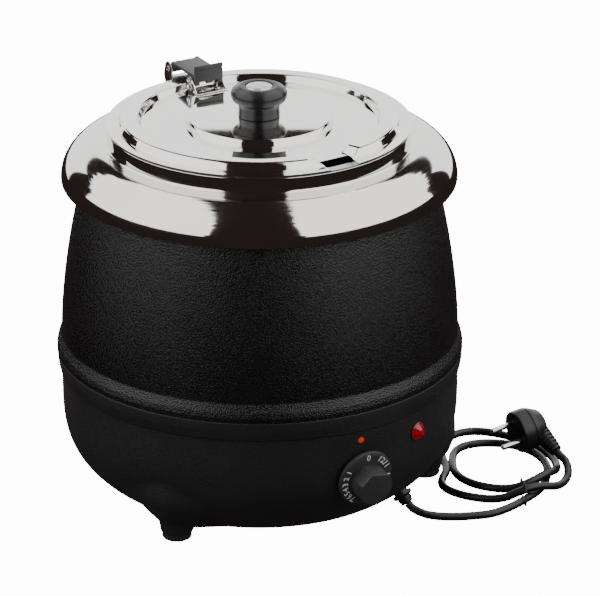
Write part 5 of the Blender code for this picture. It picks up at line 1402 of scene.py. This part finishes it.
@dataclass
class Lead:
    """The gland, the power cord in its two loose turns, the tie and the plug."""

    shop: Workshop
    bowl: Bowl
    cord_r: float = 0.0035
    gland_angle: float = 23.7
    gland_z: float = 0.022
    gland_out: float = 0.0110
    gland_shank: float = 0.0100
    shank_r: float = 0.0062
    flange_r: float = 0.0085
    tie_r: float = 0.0007
    turn: float = math.radians(-30.5)  # of the two lists below, about the kettle's axis
    plug_face: Vector = field(default_factory=lambda: Vector((0.1995, -0.0908, 0.0273)))
    pin_direction: Vector = field(default_factory=lambda: Vector((-0.985, 0.077, -0.153)).normalized())
    tail_end: Vector = field(default_factory=lambda: Vector((0.2219, -0.1197, 0.0162)))
    plug_r: float = 0.0185
    plug_depth: float = 0.0160
    plug_back: float = 0.0100
    pin_l: float = 0.0190
    pin_r: float = 0.0024
    pin_pitch: float = 0.0190
    rest_mm: float = 3.8  # the cord's middle where it lies on the floor
    # Points in millimetres, whose height is left out where the cord lies on the floor
    route: tuple[tuple[float, ...], ...] = (
        (129, -92.5, 9.3), (136, -95, 7), (146, -95.6, 5.2), (160, -94.5, 4), (177, -92.3), (193, -88.7, 4.2),
        (207, -80, 5.2), (218.5, -68.5, 5.8), (228, -55, 5.2), (235.5, -40.5, 4), (240.5, -25), (243.5, -9),
        (243.8, 7), (240.5, 22), (233.5, 35), (223.5, 45), (210.5, 51.8), (196, 54), (182, 51.5), (171.5, 44),
        (165.8, 32.5), (164, 19), (163.8, 5), (166, -8.5), (171.5, -20), (180, -29.5), (191, -36),
        (203.5, -39.5, 3.9), (216, -39.8, 5.4), (228, -36.5, 9), (238.5, -29.5, 11.6), (246, -19.5, 10.2),
        (250.5, -7.5, 6.4), (252.3, 6, 3.9), (250.5, 21), (245, 35.5), (236.5, 48.5), (225.5, 60), (212, 69.5),
        (197.5, 76.5), (183, 78.5), (170.5, 73.5), (161.5, 62.5), (156.5, 48.5), (155, 34), (156.2, 20),
        (158, 8), (157.8, -4), (154.6, -16), (153, -28.5), (157, -40), (166.5, -49.5), (178.5, -56),
        (191.5, -59.8, 3.9), (204, -61.2, 5.6), (214, -60.6, 9.6), (223, -58.8, 12.6), (232, -55, 13.2),
        (241, -49, 10.6), (249, -40.5, 6.8), (255.5, -30, 4.8), (260, -18, 5.2), (261, -7, 8.2), (258.6, 2, 12),
    )
    tie_route: tuple[tuple[float, ...], ...] = (
        (219.4, -33, 6.6), (219.5, -35, 10.8), (219.8, -39.6, 12.4), (220.3, -49, 14), (220.9, -58, 17.8),
        (221.5, -64.5, 16.6), (221.9, -69, 12.6), (222, -72, 7.5), (221.8, -71.4, 3.6), (221.4, -66, 0.9),
        (220.4, -52, 1), (219.6, -40, 0.8), (219.5, -35.2, 2.4),
    )

    def build(self) -> None:
        """Builds the gland, the plug, the tie and then the cord that they are on."""
        z = self.gland_z
        gland = facing(self.gland_angle, self.bowl.radius(z), z, self.bowl.tilt(z))
        self.gland(gland)
        loop = smooth_route(self.turned(self.tie_route), 0.002, True)
        tie = self.shop.tube("tie_wire", loop, self.tie_r, True, 3)
        self.shop.settle(tie, "cord_rubber", Body.BASE, "rubber", ["cord_tie"])
        root = self.plug_frame() @ Vector((0, 0, -self.plug_depth - 0.002))
        along = (self.tail_end - root).normalized()
        plug = self.plug(root, along)
        self.cord(gland, along, [plug, tie])

    def turned(self, points: Iterable[Sequence[float]]) -> Route:
        """A list of points in millimetres, turned into the kettle's frame."""
        turn = Matrix.Rotation(self.turn, 3, "Z")
        return [turn @ Vector([v / 1000 for v in (*point, self.rest_mm)[:3]]) for point in points]

    def plug_frame(self) -> Matrix:
        """The frame at the plug's face: Z along its pins, Y away from its tail."""
        out = self.pin_direction
        tail = self.tail_end - self.plug_face
        up = -(tail - out * tail.dot(out)).normalized()
        return Matrix.Translation(self.plug_face) @ Matrix((up.cross(out), up, out)).transposed().to_4x4()

    def gland(self, frame: Matrix) -> None:
        """The tapered strain relief in the base's wall, with its flange and ribs.

        Args:
            frame: the gland's frame, Z outwards.
        """
        bore, tip = self.cord_r + TOUCH, 0.0052
        seat, end = TOUCH + 0.0008, self.gland_out
        corners: list[Corner] = [(bore, end, 0), (tip, end, 0.0006)]
        ribs = 2
        span = (end - seat - 0.0035) / ribs
        for k in range(ribs):
            z = end - span * k
            radius = tip + 0.0012 * (k + 1) / ribs
            corners += [
                (radius, z - span * 0.30, 0.0003), (radius - 0.0006, z - span * 0.42, 0.0003),
                (radius - 0.0006, z - span * 0.70, 0.0003), (radius, z - span * 0.82, 0.0003),
            ]
        corners += [
            (0.0076, seat + 0.0035, 0.0005), (self.flange_r, seat + 0.0026, 0.0006), (self.flange_r, seat, 0),
            (self.shank_r, seat, 0), (self.shank_r, -self.gland_shank, 0), (bore, -self.gland_shank, 0),
        ]
        bm, place = lathed(corners, 4, SMALL, True), self.shop.axis @ frame
        self.shop.piece("strain_relief", bm, "plug_moulding", Body.BASE, "base_plastic", ["cord_gland"], place)

    def plug(self, root: Vector, along: Vector) -> bpy.types.Object:
        """The round angled plug with its ribbed tail and two pins.

        Args:
            root: where the tail starts inside the body.
            along: the tail's direction.

        Returns:
            The plug's body.
        """
        frame = self.plug_frame()
        depth, back = self.plug_depth, self.plug_back
        corners: list[Corner] = [
            (0, 0, 0), (self.plug_r - 0.0006, 0, 0.0006), (self.plug_r, -0.0012, 0.0006),
            (self.plug_r, -depth * 0.62, 0.001), (self.plug_r - 0.0007, -depth * 0.66, 0.0004),
            (self.plug_r - 0.0007, -depth * 0.72, 0.0004), (self.plug_r - 0.0001, -depth * 0.76, 0.001),
            (self.plug_r * 0.92, -depth, 0.004), (0.0128, -depth - back * 0.8, 0.004),
            (0.0090, -depth - back, 0.003), (0, -depth - back, 0),
        ]
        body = lathed(corners, 5, MEDIUM)
        bmesh.ops.transform(body, matrix=frame, verts=body.verts)
        length = (self.tail_end - root).length
        ribs = 5
        start = length * 0.42
        sleeve: list[Corner] = [(0, 0, 0), (0.0085, 0, 0), (0.0082, start, 0.003)]
        for k in range(ribs):
            z = start + (length - start) * (k + 0.25) / ribs
            radius = 0.0078 - (0.0078 - 0.0054) * k / ribs
            step = (length - start) / ribs
            sleeve += [
                (radius - 0.0011, z, 0.0003), (radius - 0.0011, z + step * 0.25, 0.0003),
                (radius, z + step * 0.33, 0.0003), (radius - 0.0002, z + step * 0.72, 0.0003),
            ]
        sleeve = [c for c in sleeve if c[1] < length - 0.0005] + [(0.0052, length, 0.0004), (0, length, 0)]
        tail = lathed(sleeve, 3, SMALL)
        aim = Matrix.Translation(root) @ along.to_track_quat("Z", "Y").to_matrix().to_4x4()
        bmesh.ops.transform(tail, matrix=aim, verts=tail.verts)
        whole = merged(body, tail)
        made = self.shop.piece("plug_shell", whole, "plug_moulding", Body.BASE, "base_plastic", ["plug_body"])
        tip: list[Corner] = [
            (0, self.pin_l, 0), (0.0016, self.pin_l, 0.0008), (self.pin_r, self.pin_l - 0.0014, 0.001),
            (self.pin_r, 0, 0), (0, 0, 0),
        ]
        for side, word in ((-1, "lower"), (1, "upper")):
            place = self.shop.axis @ frame @ Matrix.Translation((0, side * self.pin_pitch / 2, TOUCH))
            name, pin = f"plug_pin_{word}", lathed(tip, 4, SMALL // 2)
            self.shop.piece(f"{name}_turned", pin, "nickel_plate", Body.BASE, "nickel", [name], place)
        return made

    def cord(self, gland: Matrix, along: Vector, with_pieces: list[bpy.types.Object]) -> None:
        """The cord itself, from the gland's mouth to the plug's tail.

        Args:
            gland: the gland's frame.
            along: the direction of the plug's tail.
            with_pieces: what is on the cord; not used.
        """
        last = self.tail_end + along * 2 * TOUCH
        ends = [gland @ Vector((0, 0, self.gland_out + TOUCH)), gland @ Vector((0, 0, self.gland_out + 0.003))]
        route = smooth_route(ends + self.turned(self.route) + [last + along * 0.006, last], 0.006)
        cord = self.shop.tube("cord_flex", route, self.cord_r)
        self.shop.settle(cord, "cord_rubber", Body.BASE, "rubber", ["power_cord"])


@dataclass
class Hidden:
    """The pieces that keep the frame's own shape and get a finish."""

    shop: Workshop
    finishes: dict[str, tuple[str, ...]] = field(
        default_factory=lambda: {
            "zinc_plate": (
                "foot_screw_1", "foot_screw_2", "foot_screw_3", "bottom_cover", "cover_screw_1", "cover_screw_2",
                "cover_screw_3", "heater_plate", "heater_stud", "heater_nut", "thermostat_plate",
                "thermostat_screw_left", "thermostat_screw_right", "thermostat_spindle", "knob_screw", "knob_washer",
            ),
            "silicone": ("crown_seal",),
            "heater_sheath": ("heating_element",),
            "nickel_plate": ("thermal_cutout",),
            "nylon": ("thermostat_body", "pilot_lamp_nut", "pilot_lamp_body", "terminal_block"),
            "copper": ("sensing_bulb", "earth_screw"),
            "plug_moulding": ("gland_nut",),
            "cord_rubber": ("inner_lead",),
        }
    )

    def build(self) -> None:
        """Dresses each node."""
        for finish, nodes in self.finishes.items():
            for node in nodes:
                data = frame["nodes"][node].data
                data.materials.clear()
                data.materials.append(self.shop.palette[finish])
                LOG.info("%s dressed in %s", node, finish)


# Studio


@dataclass
class Studio:
    """The camera, the lights and the pale sweep."""

    axis: Vector
    azimuth: float = math.radians(-30.5)
    distance: float = 3.4
    height: float = 1.57
    aim_right: float = 0.0336
    aim_z: float = 0.162
    focal_mm: float = 264.0
    slot_sides: tuple[float, float] = (0.50, 0.42)  # how far the dark slot reaches to the left and right
    slot_narrows: float = 0.0028  # for each degree upwards
    tent_low: float = 0.05
    panel_back: float = -0.42
    bank_back: float = -1.25
    tent_z: float = 0.28
    tent_r: float = 2.4
    tent_glow: float = 2.1
    floor_glow: tuple[float, float] = (14.0, 0.30)  # to the camera, and to the kettle
    wall_glow: tuple[float, float] = (6.0, 1.9)
    wall_from: tuple[float, float] = (138.0, 3.2)  # the angle and distance of one end
    wall_arc: float = math.radians(84)
    wall_h: float = 1.75

    def spot(self, azimuth_deg: float, distance: float, z: float) -> Vector:
        """A place at an angle from the camera's own, seen from above."""
        angle = self.azimuth + math.radians(azimuth_deg)
        return self.axis + Vector((distance * math.sin(angle), -distance * math.cos(angle), z))

    def camera(self) -> None:
        """The long lens that looks down on the kettle."""
        data = bpy.data.cameras.new("studio_camera")
        data.lens = self.focal_mm
        data.sensor_width = 36.0
        data.clip_end = 50.0
        camera = linked(bpy.data.objects.new("studio_camera", data))
        right = Vector((math.cos(self.azimuth), math.sin(self.azimuth), 0))
        target = self.axis + right * self.aim_right + Vector((0, 0, self.aim_z))
        camera.location = self.spot(0.0, self.distance, self.height)
        camera.rotation_euler = (target - camera.location).to_track_quat("-Z", "Y").to_euler()
        bpy.context.scene.camera = camera

    def lit(self, towards: Vector) -> bool:
        """Whether the tent glows in a direction from the kettle.

        Args:
            towards: the direction, with X to the camera's right and Y away from it.

        Returns:
            True on the two side panels and the bank overhead, False in the slot between them and behind them.
        """
        side, ahead, up = abs(towards.x), -towards.y, towards.z
        arc = math.degrees(math.atan2(max(up, 0.0), ahead))
        slot = self.slot_sides[towards.x > 0] - self.slot_narrows * arc
        before = ahead > self.panel_back * side or ahead > self.bank_back * up
        return side > slot and up > self.tent_low and before

    def tent(self) -> None:
        """The glowing panels that the kettle's bright parts mirror, which the camera looks between."""
        bm = bmesh.new()
        bmesh.ops.create_uvsphere(bm, u_segments=144, v_segments=72, radius=self.tent_r)
        dark = [f for f in bm.faces if not self.lit(f.calc_center_median().normalized())]
        bmesh.ops.delete(bm, geom=dark, context="FACES")
        bmesh.ops.reverse_faces(bm, faces=bm.faces)
        place = Matrix.Translation(self.axis + Vector((0, 0, self.tent_z))) @ Matrix.Rotation(self.azimuth, 4, "Z")
        bmesh.ops.transform(bm, matrix=place, verts=bm.verts)
        panel = self.stage_mesh("studio_tent", bm)
        panel.visible_camera = False
        panel.data.materials.append(self.glowing("tent_cloth", (1.0, 0.985, 0.98), self.tent_glow, self.tent_glow))

    def glowing(self, name: str, color: Sequence[float], seen: float, given: float) -> bpy.types.Material:
        """A plain glow that may look brighter to the camera than it is to the kettle.

        Args:
            name: the material's name.
            color: its colour.
            seen: its radiance to the camera.
            given: its radiance to everything else.

        Returns:
            The material.
        """
        shader = Shader(name)
        tree = shader.tree
        tree.nodes.remove(shader.surface)
        path = shader.node("LightPath").outputs["Is Camera Ray"]
        plain, bright = (
            shader.node("Emission", {"Color": (*color, 1.0), "Strength": strength}).outputs[0]
            for strength in (given, seen)
        )
        mix = shader.node("MixShader", {0: path, 1: plain, 2: bright})
        shader.fill(tree.nodes["Material Output"], {"Surface": mix.outputs[0]})
        return shader.material

    def stage_mesh(self, name: str, bm: bmesh.types.BMesh) -> bpy.types.Object:
        """Makes a mesh part of the stage.

        Args:
            name: its name.
            bm: the mesh, which is freed.

        Returns:
            The stage's object.
        """
        obj = as_object(name, bm)
        return obj

    def sweep(self) -> None:
        """A pale floor, and a lit wall behind the kettle."""
        bm = bmesh.new()
        bmesh.ops.create_grid(bm, x_segments=1, y_segments=1, size=12.0)
        bmesh.ops.translate(bm, vec=self.axis, verts=bm.verts)
        floor = self.stage_mesh("studio_floor", bm)
        floor.visible_glossy = False
        floor.data.materials.append(self.glowing("pale_floor", (1.0, 1.0, 1.0), *self.floor_glow))
        bm = bmesh.new()
        start = bm.verts.new(self.spot(*self.wall_from, 0.0))
        bmesh.ops.spin(bm, geom=[start], cent=self.axis, axis=(0, 0, 1), angle=self.wall_arc, steps=48)
        raised = bmesh.ops.extrude_edge_only(bm, edges=bm.edges[:])["geom"]
        tops = [v for v in raised if isinstance(v, bmesh.types.BMVert)]
        bmesh.ops.translate(bm, vec=(0, 0, self.wall_h), verts=tops)
        wall = self.stage_mesh("studio_wall", bm)
        wall.data.materials.append(self.glowing("lit_wall", (1.0, 0.99, 0.985), *self.wall_glow))

    def world(self) -> None:
        """A dark room with a warm cast."""
        world = bpy.data.worlds.new("dark_room")
        world.use_nodes = True
        background = world.node_tree.nodes["Background"].inputs
        background["Color"].default_value = (0.024, 0.017, 0.015, 1)
        background["Strength"].default_value = 1.0
        bpy.context.scene.world = world

    def build(self) -> None:
        """Sets the studio up."""
        self.camera()
        self.world()
        self.sweep()
        self.tent()


def main() -> None:
    """Builds the studio and every sub-assembly in order."""
    logging.basicConfig(level=logging.INFO, format="%(name)s: %(message)s")
    low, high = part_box("upper_shell")
    axis = Vector(((low[0] + high[0]) / 2, (low[1] + high[1]) / 2, 0.0))
    to_axis = Matrix.Translation(axis)
    to_pot = to_axis @ Matrix.Rotation(POT_TURN, 4, "Z")
    Studio(axis).build()
    shop = Workshop(Palette(axis), to_axis, to_pot)
    bowl = Bowl()
    builders: list[Callable[[], None]] = [
        Lead(shop, bowl).build,
        Base(shop, bowl).build,
        Barrel(shop).build,
        Controls(shop, bowl).build,
        Pot(shop).build,
        Lid(shop).build,
        Hinge(shop).build,
        Hidden(shop).build,
    ]
    for build in builders:
        build()


if __name__ == "__main__":
    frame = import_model()
    main()
